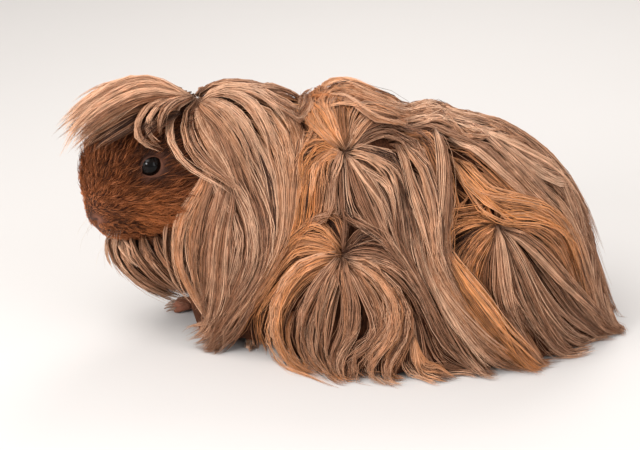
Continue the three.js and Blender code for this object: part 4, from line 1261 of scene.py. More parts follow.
coatFamilies = {
    "mane": [
        lockFamily([(256, 92), (274, 87), (290, 88), (303, 97), (307, 114)],
            lift=4.2, locks=8, tone=0.55, spread=2.2),
        lockFamily(places=[(-80, -18, 78), (-84, -18, 56), (-80, -17, 34), (-66, -16, 14)],
            reach=15, locks=24, tone=0.34, spread=2.4),
        lockFamily([(198, 100), (214, 93), (235, 88), (256, 92), (273, 103), (286, 120), (293, 142)],
            lift=3.2, locks=12, tone=0.6),
        lockFamily([(198, 101), (213, 97), (232, 97), (250, 106), (265, 123), (274, 146), (278, 176)],
            lift=3.0, locks=12, tone=0.66),
        lockFamily([(198, 102), (210, 103), (226, 111), (242, 128), (254, 150), (262, 180)],
            lift=2.8, locks=12, tone=0.64),
        lockFamily([(197, 103), (205, 111), (218, 126), (232, 150), (243, 178), (248, 205)],
            lift=2.8, locks=10, tone=0.5),
        lockFamily([(196, 103), (201, 116), (210, 136), (221, 158), (232, 182), (238, 208)],
            lift=2.8, locks=9, tone=0.46),
        lockFamily([(222, 186), (217, 212), (212, 244), (211, 280), (214, 312)],
            lift=1.6, locks=9, tone=0.46, gold=0.15, spread=3),
        lockFamily([(207, 166), (198, 189), (185, 209), (178, 238), (179, 268), (191, 294), (205, 312),
            (216, 322)], lift=2.2, locks=9, tone=0.72, gold=0.4, spread=1.8),
        lockFamily([(212, 170), (203, 194), (194, 217), (189, 244), (191, 272), (200, 298), (213, 320)],
            lift=1.6, locks=10, tone=0.56, gold=0.3, spread=3),
        lockFamily([(220, 178), (213, 202), (208, 228), (205, 252), (206, 280), (212, 306), (214, 326)],
            lift=1.9, locks=12, tone=0.5, gold=0.1, spread=3.6),
        lockFamily([(232, 186), (229, 210), (226, 236), (224, 262), (222, 290), (216, 318), (204, 338)],
            lift=2.2, locks=12, tone=0.5, gold=0.1, spread=4),
        lockFamily([(226, 262), (222, 290), (214, 318), (203, 335), (187, 344)],
            lift=1.4, locks=12, tone=0.58, spread=2, short=0.9, half=1.3),
        lockFamily([(246, 262), (238, 296), (226, 322), (212, 338), (192, 349)],
            lift=1.4, locks=12, tone=0.52, spread=2, short=0.9, half=1.4),
        lockFamily([(262, 262), (254, 292), (240, 320), (226, 338), (206, 351)],
            lift=1.2, locks=8, tone=0.42, short=0.84, half=1.2),
    ],
    "rosette_upper": [
        lockFamily([(318, 90), (345, 84), (372, 88), (394, 102)],
            lift=4.6, locks=4, tone=0.85, gold=0.5, half=0.8),
        lockFamily([(322, 96), (345, 88), (374, 92), (400, 108), (412, 122)],
            lift=3.6, locks=6, tone=0.7, gold=0.4),
        lockFamily([(341, 147), (327, 136), (314, 122), (307, 108), (306, 97), (314, 88)],
            lift=2.6, locks=6, tone=0.75, gold=0.85),
        lockFamily([(343, 147), (331, 132), (323, 119), (319, 106), (321, 96), (332, 89)],
            lift=2.6, locks=6, tone=0.7, gold=0.8),
        lockFamily([(345, 146), (339, 130), (335, 115), (337, 104), (346, 96), (360, 93)],
            lift=2.6, locks=5, tone=0.66, gold=0.4),
        lockFamily([(350, 146), (357, 130), (369, 120), (383, 117), (398, 121)],
            lift=2.4, locks=5, tone=0.66, gold=0.25),
        lockFamily([(350, 152), (364, 158), (380, 168), (390, 181), (394, 200), (395, 222)],
            lift=2.6, locks=6, tone=0.72, gold=0.2),
        lockFamily([(346, 154), (357, 168), (370, 184), (381, 204), (388, 226)],
            lift=2.2, locks=6, tone=0.6),
        lockFamily([(342, 154), (338, 170), (337, 188), (340, 206)], lift=2.0, locks=5, tone=0.62),
        lockFamily([(338, 152), (324, 158), (316, 172), (314, 190), (312, 209)],
            lift=2.4, locks=6, tone=0.66, gold=0.7),
        lockFamily([(336, 150), (320, 151), (308, 161), (304, 176), (304, 194), (303, 212)],
            lift=2.4, locks=5, tone=0.55, gold=0.9),
    ],
    "rosette_lower": [
        lockFamily([(337, 259), (318, 260), (299, 271), (284, 292), (276, 315), (276, 335), (284, 355),
            (299, 368), (322, 377), (347, 383)], lift=2.8, locks=9, tone=0.58, gold=0.6, spread=2),
        lockFamily([(338, 262), (325, 276), (313, 297), (305, 322), (307, 346), (318, 366)],
            lift=1.8, locks=6, tone=0.5),
        lockFamily([(340, 263), (334, 283), (328, 304), (324, 326), (324, 345), (332, 362)],
            lift=2.0, locks=6, tone=0.56),
        lockFamily([(343, 264), (347, 283), (351, 304), (351, 324), (344, 340), (336, 354)],
            lift=2.0, locks=6, tone=0.4),
        lockFamily([(349, 262), (370, 273), (385, 292), (393, 312), (391, 331), (379, 348), (366, 361),
            (365, 371), (376, 380), (396, 382)], lift=2.8, locks=7, tone=0.68, gold=0.3, spread=2),
        lockFamily([(346, 263), (362, 284), (374, 306), (380, 324), (374, 340), (360, 352), (348, 362),
            (348, 371), (358, 380), (374, 384)], lift=2.2, locks=6, tone=0.36, spread=2),
        lockFamily([(352, 260), (374, 267), (394, 281), (406, 302), (410, 322), (405, 340), (394, 354),
            (388, 366), (396, 377), (414, 384)], lift=2.4, locks=6, tone=0.5, gold=0.3, spread=2),
    ],
    "side_lock": [
        lockFamily([(400, 146), (403, 162), (410, 181), (418, 205), (423, 226), (430, 252), (446, 296),
            (461, 320)], lift=2.6, locks=7, tone=0.62, spread=2),
        lockFamily([(405, 143), (415, 155), (427, 172), (434, 192), (439, 216), (441, 249), (448, 272),
            (462, 294), (476, 314)], lift=3.0, locks=8, tone=0.6, spread=2),
        lockFamily([(437, 128), (442, 152), (445, 177), (446, 205), (443, 240), (450, 265), (464, 288)],
            lift=3.4, locks=8, tone=0.58, spread=2),
        lockFamily([(444, 248), (453, 268), (468, 290), (483, 312), (499, 333), (518, 354), (552, 373)],
            lift=3.0, locks=9, tone=0.6, gold=0.85, spread=3.2),
        lockFamily([(424, 250), (436, 278), (452, 302), (466, 326), (484, 350), (512, 368)],
            lift=2.4, locks=7, tone=0.68, gold=0.1, spread=2.4),
        lockFamily([(412, 336), (417, 356), (424, 369), (438, 377), (456, 381)],
            lift=1.8, locks=5, tone=0.5, gold=0.6, spread=1.6),
    ],
    "rosette_hip": [
        lockFamily([(457, 160), (467, 179), (481, 195), (500, 204), (521, 208), (550, 217), (566, 235),
            (575, 256), (580, 276), (587, 292)], lift=3.0, locks=9, tone=0.62, gold=0.9, spread=3),
        lockFamily([(504, 227), (526, 237), (547, 258), (566, 282), (584, 300), (603, 318), (620, 329)],
            lift=2.4, locks=7, tone=0.66, gold=0.15, spread=2),
        lockFamily([(497, 228), (482, 241), (470, 258), (465, 276), (469, 294)],
            lift=1.8, locks=6, tone=0.5, gold=0.8, spread=2),
        lockFamily([(501, 230), (502, 252), (506, 276), (513, 300), (524, 326), (540, 348)],
            lift=2.0, locks=6, tone=0.55, spread=2),
        lockFamily([(503, 230), (515, 253), (526, 278), (537, 304), (552, 330), (572, 352)],
            lift=2.0, locks=6, tone=0.5, spread=2),
    ],
    "rump_coat": [
        lockFamily([(462, 116), (500, 119), (535, 136), (564, 165), (586, 200), (600, 245)],
            lift=4.6, locks=5, tone=0.85, spread=3, half=0.8),
        lockFamily([(552, 190), (568, 222), (580, 256), (590, 288), (612, 322)],
            lift=2.2, locks=6, tone=0.66, spread=3, half=1.1),
        lockFamily(chart=[(92, -5), (112, -5), (125, -6), (134, -8), (139, -12)],
            lift=0.6, locks=9, tone=0.55, spread=3.4),
        lockFamily(chart=[(92, -14), (112, -15), (125, -17), (134, -22), (139, -30)],
            lift=0.8, locks=9, tone=0.5, spread=3.6),
        lockFamily(chart=[(96, -24), (112, -26), (125, -30), (134, -38), (138, -52)],
            lift=0.8, locks=8, tone=0.5, spread=3.6),
        lockFamily([(409, 124), (428, 121), (457, 124), (480, 134), (503, 152), (527, 176), (550, 200),
            (572, 228)], lift=3.0, locks=8, tone=0.66, spread=2.4),
        lockFamily([(404, 118), (430, 111), (458, 113), (484, 122), (510, 138), (538, 160), (562, 186),
            (580, 216)], lift=3.0, locks=8, tone=0.6, gold=0.2, spread=2.4),
        lockFamily([(452, 140), (468, 147), (487, 162), (506, 181), (526, 197), (548, 212)],
            lift=2.8, locks=7, tone=0.66, spread=2),
    ],
}

beardFamilies = [
    lockFamily([(110, 230), (107, 244), (108, 257), (114, 270)],
        depths=(-16, -20, -22), locks=4, tone=0.95, spread=2, short=0.6, half=0.5, thick=4),
    lockFamily([(117, 230), (124, 248), (131, 262), (141, 273)],
        depths=(-16, -22, -24), locks=8, tone=0.9, spread=4, short=0.6, half=0.5, thick=4),
    lockFamily([(112, 226), (109, 240), (113, 254), (121, 268), (133, 279), (150, 288)],
        depths=(-16, -21, -16), locks=12, tone=0.7, spread=2.4, short=0.5, half=1, thick=4),
    lockFamily([(114, 226), (113, 243), (118, 260), (128, 274), (144, 286), (165, 295), (188, 300)],
        depths=(-16, -22, -16, -8), locks=26, tone=0.62, spread=1.8, short=0.72, half=1.3, thick=5, far=True),
    lockFamily([(122, 226), (121, 245), (127, 262), (139, 275), (155, 285), (174, 293), (192, 298)],
        depths=(-16, -24, -18, -8), locks=32, tone=0.44, spread=2.8, short=0.7, half=1.4, thick=5, far=True),
    lockFamily([(132, 228), (132, 247), (139, 261), (151, 274), (166, 284), (184, 293), (200, 300)],
        depths=(-18, -27, -20, -8), locks=34, tone=0.36, spread=3.4, short=0.7, half=1.5, thick=5, far=True),
    lockFamily([(144, 230), (145, 247), (152, 260), (164, 273), (179, 285), (198, 297)],
        depths=(-20, -29, -22, -10), locks=32, tone=0.3, spread=3.6, short=0.7, half=1.5, thick=5, far=True),
    lockFamily([(157, 230), (158, 246), (166, 260), (178, 274), (196, 290)],
        depths=(-22, -30, -22), locks=30, tone=0.28, spread=5, short=0.75, half=1.5, thick=5, far=True),
]
for sideName, side in (("left", -1), ("right", 1)):
    hairs = coatHairs[side]
    for name in ("mane", "rosette_upper", "rosette_lower", "side_lock", "rosette_hip", "rump_coat"):
        node = f"{name}_{sideName}"
        chosen = [pick(strands, pieceOf(strands) == name) for strands in hairs]
        share = 1 if side < 0 else 0.6  # fewer hairs on the far side
        chosen.append(drawnLocks(coatFamilies[name], np.array([-50, 0, 50]), 8, -side, share))
        finishPiece(makeStrands("hair_" + node, chosen, 0.41, coatHair), "long_coat", node)

beardLocks = drawnLocks(beardFamilies, np.array([-84, -8, 50]), 7)
print("beard", len(beardLocks["tone"]), "hairs")
finishPiece(makeStrands("hair_beard", [beardLocks], 0.4, coatHair), "long_coat", "beard")
print("coat grown")


# ---- skin
def loftMesh(name, rings):
    # closed skin over rings of equal length, with a fan over each end
    count, across = rings.shape[:2]
    places = rings.reshape(-1, 3)
    r = np.arange(count - 1)[:, None] * across
    i = np.arange(across)[None, :]
    j = (i + 1) % across
    quads = np.stack([r + i, r + j, r + across + j, r + across + i], -1).reshape(-1, 4).tolist()
    first, last = len(places), (count - 1) * across
    places = np.concatenate([places, rings[:1].mean(1), rings[-1:].mean(1)])
    quads += [[first, (k + 1) % across, k] for k in range(across)]
    quads += [[first + 1, last + k, last + (k + 1) % across] for k in range(across)]
    mesh = bpy.data.meshes.new(name)
    mesh.from_pydata((places * mm).tolist(), [], quads)
    return mesh


def outward(mesh):
    work = bmesh.new()
    work.from_mesh(mesh)
    bmesh.ops.recalc_face_normals(work, faces=work.faces)
    work.to_mesh(mesh)
    work.free()
    mesh.shade_smooth()
    return mesh


torsoWidth = line([(-86, 22), (-70, 31), (-45, 40), (0, 47), (50, 50), (88, 42), (113, 20)])
torsoTop = line([(-86, 104), (-70, 108), (-45, 109), (0, 107), (56, 96), (88, 82), (113, 58)])
torsoBottom = line([(-86, 74), (-70, 46), (-45, 31), (0, 27), (70, 27), (113, 36)])

faceForms = [  # forward, side, rise, reach, height: swellings and hollows of the face
    (2, 22, -24, 13, 2.0), (29, 8.5, -20, 6.5, 1.8), (35, 3.6, -21, 3.6, 0.7), (31, 0, -33, 5, 1.0),
    (6, 17, 10, 7, 0.9), (13, 17, -2, 7, -0.8), (0, 23, 0.4, 9, -0.5), (37.4, 4.4, -14.6, 1.7, -2.6),
    (36.2, 6.2, -13.0, 1.5, -1.7), (36.5, 5.6, -10.6, 2.6, 0.8), (38, 0, -12, 3, 0.4),
    (38, 0, -17, 1.1, -0.7), (38, 0, -19.4, 1.1, -0.8), (37.6, 0, -22, 1.2, -0.9),
    (36.8, 0, -24.6, 1.6, -1.3), (36, 2.6, -25.6, 1.4, -1.2), (35, 5.0, -26.4, 1.5, -1.3),
    (33, 7.2, -27.2, 1.6, -1.3), (30.5, 9.0, -27.8, 1.8, -1.1), (27.5, 10.6, -28.0, 2.0, -0.8),
]


def headSkin():
    blunt = 29  # the muzzle rounds off from here to the nose
    straight = np.linspace(head["back"], blunt, 84)
    cap = blunt + (head["nose"] - blunt) * np.sin(np.linspace(0, np.pi / 2, 56))[1:]
    forward = np.concatenate([straight, cap])
    shrink = np.sqrt(np.maximum(0, 1 - np.clip((forward - blunt) / (head["nose"] - blunt), 0, 1) ** 4))
    turn = np.linspace(0, 2 * np.pi, 172, endpoint=False)
    inset = head["inset"]
    middle = (headTop(forward) + headBottom(forward)) / 2
    half = ((headTop(forward) - headBottom(forward)) / 2 - inset) * shrink
    width = (headWidth(forward) - inset) * shrink
    side = width[:, None] * (1 - 0.1 * np.cos(turn)) * np.sin(turn)
    rise = middle[:, None] + half[:, None] * np.cos(turn)
    local = np.stack([np.repeat(forward[:, None], len(turn), 1), side, rise], -1)
    a = np.gradient(local, axis=0)
    b = np.roll(local, -1, 1) - np.roll(local, 1, 1)
    normal = unit(np.cross(b, a))
    normal = normal * np.sign((normal[..., 1] * local[..., 1]).sum())
    normal[-1] = (1, 0, 0)
    push = np.zeros(local.shape[:2])
    for f, s, r, reach, height in faceForms:
        for sign in (1, -1) if s else (1,):
            push = push + height * swell(local, (f, s * sign, r), reach)
    local = local + normal * push[..., None]
    return local, normal


headLocal, headNormal = headSkin()


def headWorld(local):
    return onHead(local[..., 0], local[..., 1], local[..., 2])


eyeForm = {"radius": 6, "side": 18.9, "rise": 0.4, "opening": 5.2, "lid": 0.5}


def lidMesh(side):
    # a soft rim round the opening of the eye, drawn out a little at its inner corner
    k = eyeForm
    turn = np.linspace(0, 2 * np.pi, 72, endpoint=False)
    inner = np.exp(-((np.angle(np.exp(1j * (turn - math.radians(205))))) / 0.42) ** 2)
    outer = np.exp(-((np.angle(np.exp(1j * (turn - math.radians(20))))) / 0.5) ** 2)
    reach = k["opening"] * (1 + 0.13 * inner + 0.04 * outer)
    forward = -reach * np.cos(turn)
    rise = reach * np.sin(turn) * 0.98
    flat = np.minimum(np.hypot(forward, rise), k["radius"] * 0.98)
    out = np.sqrt(k["radius"] ** 2 - flat**2) + 0.1 - 0.3 * inner
    thick = k["lid"] * (1 + 0.25 * np.maximum(0, np.sin(turn)))
    rings = []
    for a in np.linspace(0, 2 * np.pi, 14, endpoint=False):
        grow = thick * 0.95 * np.cos(a) / np.maximum(np.hypot(forward, rise), 1)
        sideways = side * (k["side"] + out + 0.75 * thick * np.sin(a))
        rings.append(onHead(forward * (1 + grow), sideways, k["rise"] + rise * (1 + grow)))
    return np.array(rings).transpose(1, 0, 2)


def ringMesh(name, rings):
    count, across = rings.shape[:2]
    r, i = np.arange(count)[:, None], np.arange(across)[None, :]
    nr, ni = (r + 1) % count, (i + 1) % across
    quads = np.stack([r * across + i, r * across + ni, nr * across + ni, nr * across + i], -1)
    mesh = bpy.data.meshes.new(name)
    mesh.from_pydata((rings.reshape(-1, 3) * mm).tolist(), [], quads.reshape(-1, 4).tolist())
    return mesh


def bodyRings():
    xs = np.linspace(-85, 112, 54)
    turn = np.linspace(0, 2 * np.pi, 48, endpoint=False)
    under = 1.2  # below the solid's surface
    width, bottom, top = torsoWidth(xs) - under, torsoBottom(xs) + under, torsoTop(xs) - under
    z = (top + bottom)[:, None] / 2 + (top - bottom)[:, None] / 2 * np.cos(turn)
    return np.stack([np.repeat(xs[:, None], len(turn), 1), width[:, None] * np.sin(turn), z], -1)


legs = [  # name, foot x and y, hip, girth, foot length and width, toes
    ("fore_left", -50, -22, (-44, -24, 62), 9, 20, 13, 4),
    ("fore_right", -77, 15, (-62, 19, 62), 9, 20, 13, 4),
    ("hind_left", 70, -30, (74, -29, 52), 12, 33, 14, 3),
    ("hind_right", 76, 30, (80, 29, 52), 12, 33, 14, 3),
]


def legRings(x, y, hip, girth):
    foot = np.array([x + girth * 0.7, y, 6.0])
    top = np.array(hip, float)
    knee = (top + foot) / 2 + (girth * 0.45, 0, 0)
    t = np.linspace(0, 1, 14)[:, None]
    path = top * (1 - t) ** 2 + 2 * knee * t * (1 - t) + foot * t * t
    turn = np.linspace(0, 2 * np.pi, 20, endpoint=False)
    radius = mix(girth * 1.25, girth * 0.62, t) - 0.8
    ring = np.stack([np.cos(turn), 0.85 * np.sin(turn), 0 * turn], -1)
    return path[:, None] + radius[..., None] * ring[None]


def capsule(a, b, ra, rb, squash):
    # a rounded tapering rod from a to b
    a, b = np.array(a, float), np.array(b, float)
    way = unit(b - a)
    side = unit(np.cross(way, (0, 0, 1)))
    up = np.cross(side, way)
    rounds = 6
    rings = []
    for k in range(1, rounds + 1):
        t = math.pi / 2 * k / rounds
        rings.append((a - way * ra * math.cos(t), ra * math.sin(t)))
    for k in range(rounds):
        t = math.pi / 2 * k / rounds
        rings.append((b + way * rb * math.sin(t), rb * math.cos(t)))
    turn = np.linspace(0, 2 * np.pi, 16, endpoint=False)
    ring = side * np.cos(turn)[:, None] + up * np.sin(turn)[:, None] * squash
    return outward(loftMesh("foot", np.array([c + r * ring for c, r in rings])))


def footTips(x, y, length, width, toes):
    tips = []
    for i in range(toes):
        place = i - (toes - 1) / 2
        sideways = y - place * width / toes
        front = x - (length / 2 - abs(place) * 1.4)
        tips.append((front, sideways, place))
    return tips


def footParts(x, y, length, width, toes):
    parts = [capsule((x + length * 0.36, y, 3.3), (x - length * 0.2, y, 3.6), 3.4, 4.6, 0.72)]
    for front, sideways, place in footTips(x, y, length, width, toes):
        root = (front + 6.5, mix(y, sideways, 0.8), 3.4)
        parts.append(capsule(root, (front + 0.6, sideways, 1.7), 2.1, 1.55, 0.9))
    return parts


def clawMesh(front, y, place):
    # a curved nail with a thick root
    t = np.linspace(0, 1, 9)[:, None]
    rise = 2.2 + 1.1 * np.sin(np.pi * t * 0.8) - 1.7 * t
    path = np.concatenate([front + 1.2 - 6.0 * t, y - place * 0.7 * t, rise], 1)
    radius = 0.95 * np.sqrt(np.maximum(0.03, 1 - t**1.6))
    turn = np.linspace(0, 2 * np.pi, 10, endpoint=False)
    ring = np.stack([0 * turn, 0.75 * np.cos(turn), np.sin(turn)], -1)
    rings = path[:, None] + radius[..., None] * ring[None]
    rings[..., 2] = np.maximum(rings[..., 2], 0.05)
    return outward(loftMesh("claw", rings))


earForm = {
    "ahead": -31, "rise": -1, "side": 18.5, "length": 27,
    "width": 19, "thick": 2.6, "droop": 0.72, "splay": 4,
}


def earRings(side):
    k = earForm
    t = np.linspace(0.0, 1, 22)[:, None]
    turn = np.linspace(0, 2 * np.pi, 28, endpoint=False)[None, :]
    width = (k["width"] / 2 - 0.4) * np.sin(np.pi * (0.14 + 0.82 * t))
    across = width * np.cos(turn)
    through = k["thick"] / 2 * np.sin(turn)
    out = k["side"] + through - 0.035 * across**2 + k["splay"] * np.sin(1.9 * t)
    rise = k["rise"] + 3 - (k["length"] * k["droop"] + 3) * t + 0 * turn
    return onHead(k["ahead"] + across + 5 * t, side * out, rise)


def buildSkin():
    base = newObject("skin", outward(loftMesh("skin", headWorld(headLocal))))
    parts = []
    parts.append(outward(loftMesh("body", bodyRings())))
    for side in (1, -1):
        parts.append(outward(ringMesh("lid", lidMesh(side))))
        parts.append(outward(loftMesh("ear", earRings(side))))
    for name, x, y, hip, girth, length, width, toes in legs:
        parts.append(outward(loftMesh("leg", legRings(x, y, hip, girth))))
        parts += footParts(x, y, length, width, toes)
    group = bpy.data.collections.new("skinParts")
    bpy.context.scene.collection.children.link(group)
    for mesh in parts:
        group.objects.link(bpy.data.objects.new(mesh.name, mesh))
    union = base.modifiers.new("union", "BOOLEAN")
    union.operation = "UNION"
    union.operand_type = "COLLECTION"
    union.collection = group
    union.solver = "EXACT"
    graph = bpy.context.evaluated_depsgraph_get()
    made = bpy.data.meshes.new_from_object(base.evaluated_get(graph))
    base.modifiers.remove(union)
    base.data = made
    for obj in list(group.objects):
        bpy.data.objects.remove(obj)
    bpy.data.collections.remove(group)
    made.shade_smooth()
    return base


skin = buildSkin()
print("skin joined:", len(skin.data.polygons), "faces")


def chestForm():
    # the dense short hair of the throat and chest, under the beard
    t = np.linspace(0, 1, 22)[:, None]
    throat, middle, foot = np.array([(-95, -11, 68), (-93, -9, 36), (-70, -6, 20)])
    path = throat * (1 - t) ** 2 + middle * 2 * t * (1 - t) + foot * t * t
    turn = np.linspace(0, 2 * np.pi, 28, endpoint=False)
    radius = mix(15, 9, t) * np.sqrt(np.sin(np.pi * (0.06 + 0.9 * t)))
    ring = np.stack([np.cos(turn), 1.15 * np.sin(turn), 0.35 * np.cos(turn)], -1)
    rings = path[:, None] + radius[..., None] * ring[None]
    return newObject("chest_fur", outward(loftMesh("chest_fur", rings)))


chest = chestForm()
chest.data.materials.append(dense.data.materials[0])
finishPiece(chest, "long_coat")


nostril = {"ahead": 35.4, "rise": -11.4, "radius": 0.8, "clear": 2.3}
bareSpots = [  # forward, side, rise, reach, strength
    (37.4, 4.4, -14.6, 2.4, 0.8), (35.4, 10, -11.4, 3.4, 1.0), (36.6, 7.4, -13.4, 2.4, 0.9),
    (38, 0, -19, 1.7, 0.5), (37, 0, -23, 1.8, 0.7), (36, 2.6, -25.6, 1.7, 0.8),
    (35, 5.0, -26.4, 1.8, 0.8), (33, 7.2, -27.2, 1.8, 0.7),
]


def fromNostril(local):
    # how far places of the head's sides are from the nostril
    away = np.hypot(local[..., 0] - nostril["ahead"], local[..., 2] - nostril["rise"])
    return away + 9 * (abs(local[..., 1]) < 5)


def paintSkin():
    # tone of the short fur, where the skin is bare, and the painted shade in the nostril, at each point of
    # the skin
    mesh = skin.data
    place = readAll(mesh.vertices, "co", (3,)) / mm
    off = place - np.array(head["centre"])
    local = np.stack([off @ ahead, off @ leftward, off @ upward], -1)
    bare = np.zeros(len(place))
    for f, s, r, reach, strength in bareSpots:
        for sign in (1, -1):
            bare = np.maximum(bare, strength * swell(local, (f, s * sign, r), reach))
    for sign in (1, -1):
        far = np.hypot(local[:, 0], local[:, 2] - eyeForm["rise"]) + 9 * (local[:, 1] * sign < 10)
        bare = np.maximum(bare, 0.3 * (1 - ease(far, 4.9, 5.6)))
    bare = np.maximum(bare, 0.85 * (1 - ease(place[:, 2], 6, 11)))
    addField(mesh, "bare", bare)
    # painted shade: the nostril's opening is darkened
    addField(mesh, "hole", np.exp(-((fromNostril(local) / nostril["radius"]) ** 2)))


paintSkin()


def skinMaterial():
    material, tree, shader = newFinish("skin", 0.62, 0.2)
    mottle = noiseNode(tree, 180, 6)
    fur = rampNode(tree, mottle, (0.35, colour(44, 23, 14)), (0.7, colour(78, 42, 26)))
    flesh = rampNode(tree, mottle, (0.3, colour(104, 62, 44)), (0.75, colour(150, 96, 74)))
    base = mixNode(tree, "MIX", fieldNode(tree, "bare"), fur, flesh)
    # painted shade in the nostril
    base = mixNode(tree, "MIX", fieldNode(tree, "hole"), base, colour(34, 14, 12))
    tree.links.new(base, shader.inputs["Base Color"])
    tree.links.new(bumpNode(tree, noiseNode(tree, 900, 4), 0.35, 0.0004), shader.inputs["Normal"])
    return material


skin.data.materials.clear()
skin.data.materials.append(skinMaterial())
finishPiece(
    skin, "face_fur", "trunk", "neck", "head", "ear_left", "ear_right",
    *[f"{leg[0]}_{part}" for leg in legs for part in ("leg", "foot")],
)


# ---- eyes
def eyeMaterial(side):
    material, tree, shader = newFinish("eye" + side, 0.12, 0.02)
    iris = rampNode(
        tree, fieldNode(tree, "ring"),
        (0, colour(4, 3, 3)), (0.36, colour(5, 3, 3)), (0.46, colour(15, 8, 6)),
        (0.68, colour(12, 7, 5)), (0.8, colour(12, 8, 7)), (1, colour(60, 40, 34)),
    )
    tree.links.new(iris, shader.inputs["Base Color"])
    for label, value in (("Weight", 1), ("Roughness", 0.02), ("IOR", 1.23)):
        shader.inputs["Coat " + label].default_value = value
    return material


for sideName, side in (("left", 1), ("right", -1)):
    k = eyeForm
    polar = np.linspace(0.0, np.pi, 34)[1:-1]
    turn = np.linspace(0, 2 * np.pi, 56, endpoint=False)
    bulge = 1 + 0.03 * np.exp(-((polar / 0.5) ** 2))
    out = k["radius"] * 0.99 * bulge * np.cos(polar)
    flat = k["radius"] * 0.99 * np.sin(polar)
    rings = onHead(
        flat[:, None] * np.cos(turn), side * (k["side"] + out)[:, None] + 0 * turn,
        k["rise"] + flat[:, None] * np.sin(turn),
    )
    mesh = outward(loftMesh("eyeball", rings))
    ring = np.concatenate([np.repeat(polar / 1.15, len(turn)), [0, 2.5]])
    addField(mesh, "ring", np.clip(ring, 0, 1))
    mesh.materials.append(eyeMaterial(sideName))
    finishPiece(newObject("eyeball_" + sideName, mesh), "eye", "eye_" + sideName)

# ---- claws
nails = bmesh.new()
for name, x, y, hip, girth, length, width, toes in legs:
    for front, sideways, place in footTips(x, y, length, width, toes):
        nails.from_mesh(clawMesh(front, sideways, place))
clawsMesh = bpy.data.meshes.new("claws")
nails.to_mesh(clawsMesh)
nails.free()
clawsMesh.shade_smooth()


def clawMaterial():
    material, tree, shader = newFinish("claw", 0.35)
    horn = rampNode(tree, noiseNode(tree, 500), (0, colour(88, 64, 52)), (1, colour(168, 140, 122)))
    tree.links.new(horn, shader.inputs["Base Color"])
    return material


clawsMesh.materials.append(clawMaterial())
finishPiece(newObject("claws", clawsMesh), "bare_skin")

# ---- short fur of the face
faceFur = {"leftHairs": 9600, "rightHairs": 5600, "width": 0.34, "points": 3, "eyeClear": 4.9}


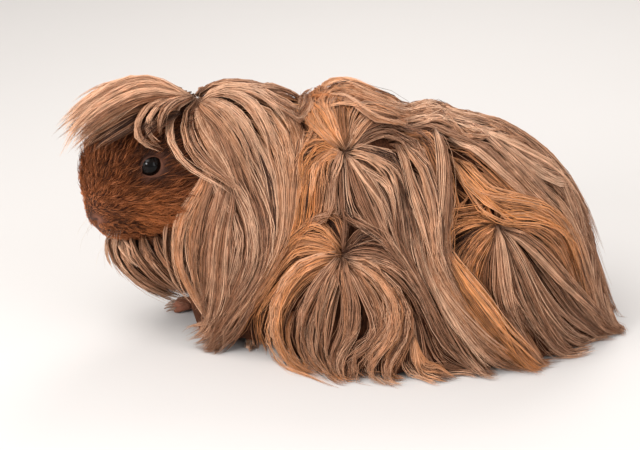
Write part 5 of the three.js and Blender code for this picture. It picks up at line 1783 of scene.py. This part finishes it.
def growFace(count, side):
    rows, across = headLocal.shape[:2]
    quad = np.cross(np.diff(headLocal, axis=0), (np.roll(headLocal, -1, 1) - headLocal)[:-1])
    quad = np.linalg.norm(quad, axis=-1)
    middle = (headLocal[1:] + headLocal[:-1]) / 2
    want = quad * (0.6 + 0.8 * ease(middle[..., 0], -20, 25)) * (middle[..., 1] * side > -0.5)
    want = want * (middle[..., 0] > -26)
    want = np.maximum(want, 0).ravel()
    index = rng.choice(want.size, count * 2, p=want / want.sum())
    i, j = index // across, index % across
    u, v = rng.random(len(i))[:, None], rng.random(len(i))[:, None]
    jj = (j + 1) % across
    root = mix(headLocal[i, j], headLocal[i + 1, j], u)
    root = mix(root, mix(headLocal[i, jj], headLocal[i + 1, jj], u), v)
    normal = unit(mix(headNormal[i, j], headNormal[i + 1, j], u))
    # bare lids, nostrils and lips
    keep = np.ones(len(root), bool)
    for s in (1, -1):
        eyeAway = np.hypot(root[:, 0] / 1.06, root[:, 2] - eyeForm["rise"])
        keep &= ~((eyeAway < 5.1) & (root[:, 1] * s > 10))
        for f, sd, r, reach in ((37.4, 4.4, -14.6, 1.4), (36, 2.6, -25.6, 0.9)):
            keep &= ((root - (f, sd * s, r)) ** 2).sum(-1) > reach**2
    root, normal = root[keep][:count], normal[keep][:count]
    n = len(root)
    # it lies back from the nose, and sweeps round the eye
    nose = np.array([40, 0, -10])
    way = root - nose
    way[:, 0] -= 8
    way[:, 2] -= 5 * ease(root[:, 0], 10, -10)
    way = way - normal * (way * normal).sum(-1, keepdims=True)
    way = unit(way + rng.normal(0, 0.1, (n, 3)) * np.linalg.norm(way, axis=-1, keepdims=True))
    fromNose = np.linalg.norm(root - (38, 0, -16), axis=-1)
    length = 1.5 + 7.5 * ease(fromNose, 4, 40)
    eyeAway = np.minimum(*(np.linalg.norm(root - (0, s, eyeForm["rise"]), axis=-1) for s in (22, -22)))
    length = length * (0.4 + 0.6 * ease(eyeAway, 6 - 3 * (root[:, 0] < 0), 12)) * rng.uniform(0.7, 1.2, n)
    s = np.linspace(0, 1, faceFur["points"])[None, :, None]
    tuft = np.sin(root[:, 0] * 0.8 + root[:, 2] * 0.5)
    tuft = tuft * np.sin(root[:, 2] * 0.9 - root[:, 0] * 0.35 + root[:, 1] * 0.3)
    lift = (0.26 + 0.14 * tuft + rng.random(n) * 0.26)[:, None, None]
    place = root[:, None] - normal[:, None] * 0.25 + way[:, None] * (length[:, None, None] * s)
    place = place + normal[:, None] * (length[:, None, None] * lift * np.sin(s * 1.9))
    bend = np.cross(normal, way)
    turnAside = 0.28 * np.sin(root[:, 0] * 0.55 - root[:, 2] * 0.75) + rng.normal(0, 0.14, n)
    place = place + bend[:, None] * (turnAside * length)[:, None, None] * s**2
    # lighter on the cheek and the bridge of the nose, dark round the eye, and darker behind the cheek as
    # painted shade under the mane
    tone = 0.28 + 0.3 * swell(root, (12, 20 * side, -22), 12)
    tone = tone + 0.12 * np.exp(-((root[:, 2] + 4) / 9) ** 2) * ease(root[:, 0], 12, 26)
    tone = tone + 0.6 * swell(root, (36, 0, -9), 13)
    tone = tone - (0.3 - 0.2 * (root[:, 0] < 0)) * np.exp(-((eyeAway - 5) / 6) ** 2)
    # painted shade: darker towards the back of the head, under the mane and forelock
    tone = tone - 0.2 * ease(root[:, 0], 0, -18)
    tone = tone + 0.5 * swell(root, (34, 5 * side, -25), 7)
    patch = np.sin(root[:, 0] * 0.9 + 2 * np.sin(root[:, 2] * 0.5))
    patch = patch * np.sin(root[:, 2] * 1.1 + root[:, 1] * 0.4)
    tone = tone + 0.1 * tuft - 0.3 * swell(root, (27, 12 * side, -17), 9) * (rng.random(n) < 0.6)
    tone = np.clip(tone + 0.08 * patch + rng.normal(0, 0.17, n), 0, 1)
    gold = 0.25 + 0.4 * swell(root, (14, 20 * side, -20), 13)
    gold = np.clip(gold + rng.normal(0, 0.1, n), 0, 1)
    # no hair hangs over the eye or the nostril
    clear = np.hypot(place[..., 0], place[..., 2] - eyeForm["rise"]).min(1) > faceFur["eyeClear"]
    clear &= fromNostril(place).min(1) > nostril["clear"]
    place, tone, gold, length, root = (v[clear] for v in (place, tone, gold, length, root))
    girth = rng.uniform(0.6, 1.1, len(place)) * (0.55 + 0.45 * ease(length, 1, 4))
    return {
        "place": headWorld(place), "tone": tone, "gold": gold * 0.8, "girth": girth, "root": root[:, [0, 2]],
    }


for sideName, side in (("left", 1), ("right", -1)):
    fur = growFace(faceFur[sideName + "Hairs"], side)
    finishPiece(makeStrands("face_fur_" + sideName, [fur], faceFur["width"], faceHair), "face_fur")
print("face covered")

# ---- whiskers
whiskers = {"each": 10, "width": 0.13}


def growWhiskers():
    parts = []
    for side in (1, -1):
        n = whiskers["each"]
        row = rng.uniform(0, 1, n)
        root = np.stack([mix(24, 33, row), side * mix(12, 9, row), rng.uniform(-24, -16, n)], -1)
        way = [rng.uniform(0.6, 1.3, n), side * rng.uniform(0.3, 0.9, n), rng.uniform(-0.5, 0.2, n)]
        way = unit(np.stack(way, -1))
        length = rng.uniform(16, 34, n)
        s = np.linspace(0, 1, 9)[None, :, None]
        place = root[:, None] + way[:, None] * (length[:, None, None] * s)
        place = place + np.array([-0.25, 0, -0.3]) * (length[:, None, None] * s**2)
        parts.append(headWorld(place))
    place = np.concatenate(parts)
    n = len(place)
    return {
        "place": place, "tone": rng.random(n), "gold": np.zeros(n), "girth": rng.uniform(0.7, 1, n),
        "root": rng.random((n, 2)),
    }


finishPiece(makeStrands("whiskers", [growWhiskers()], whiskers["width"], whiskerHair), "face_fur")
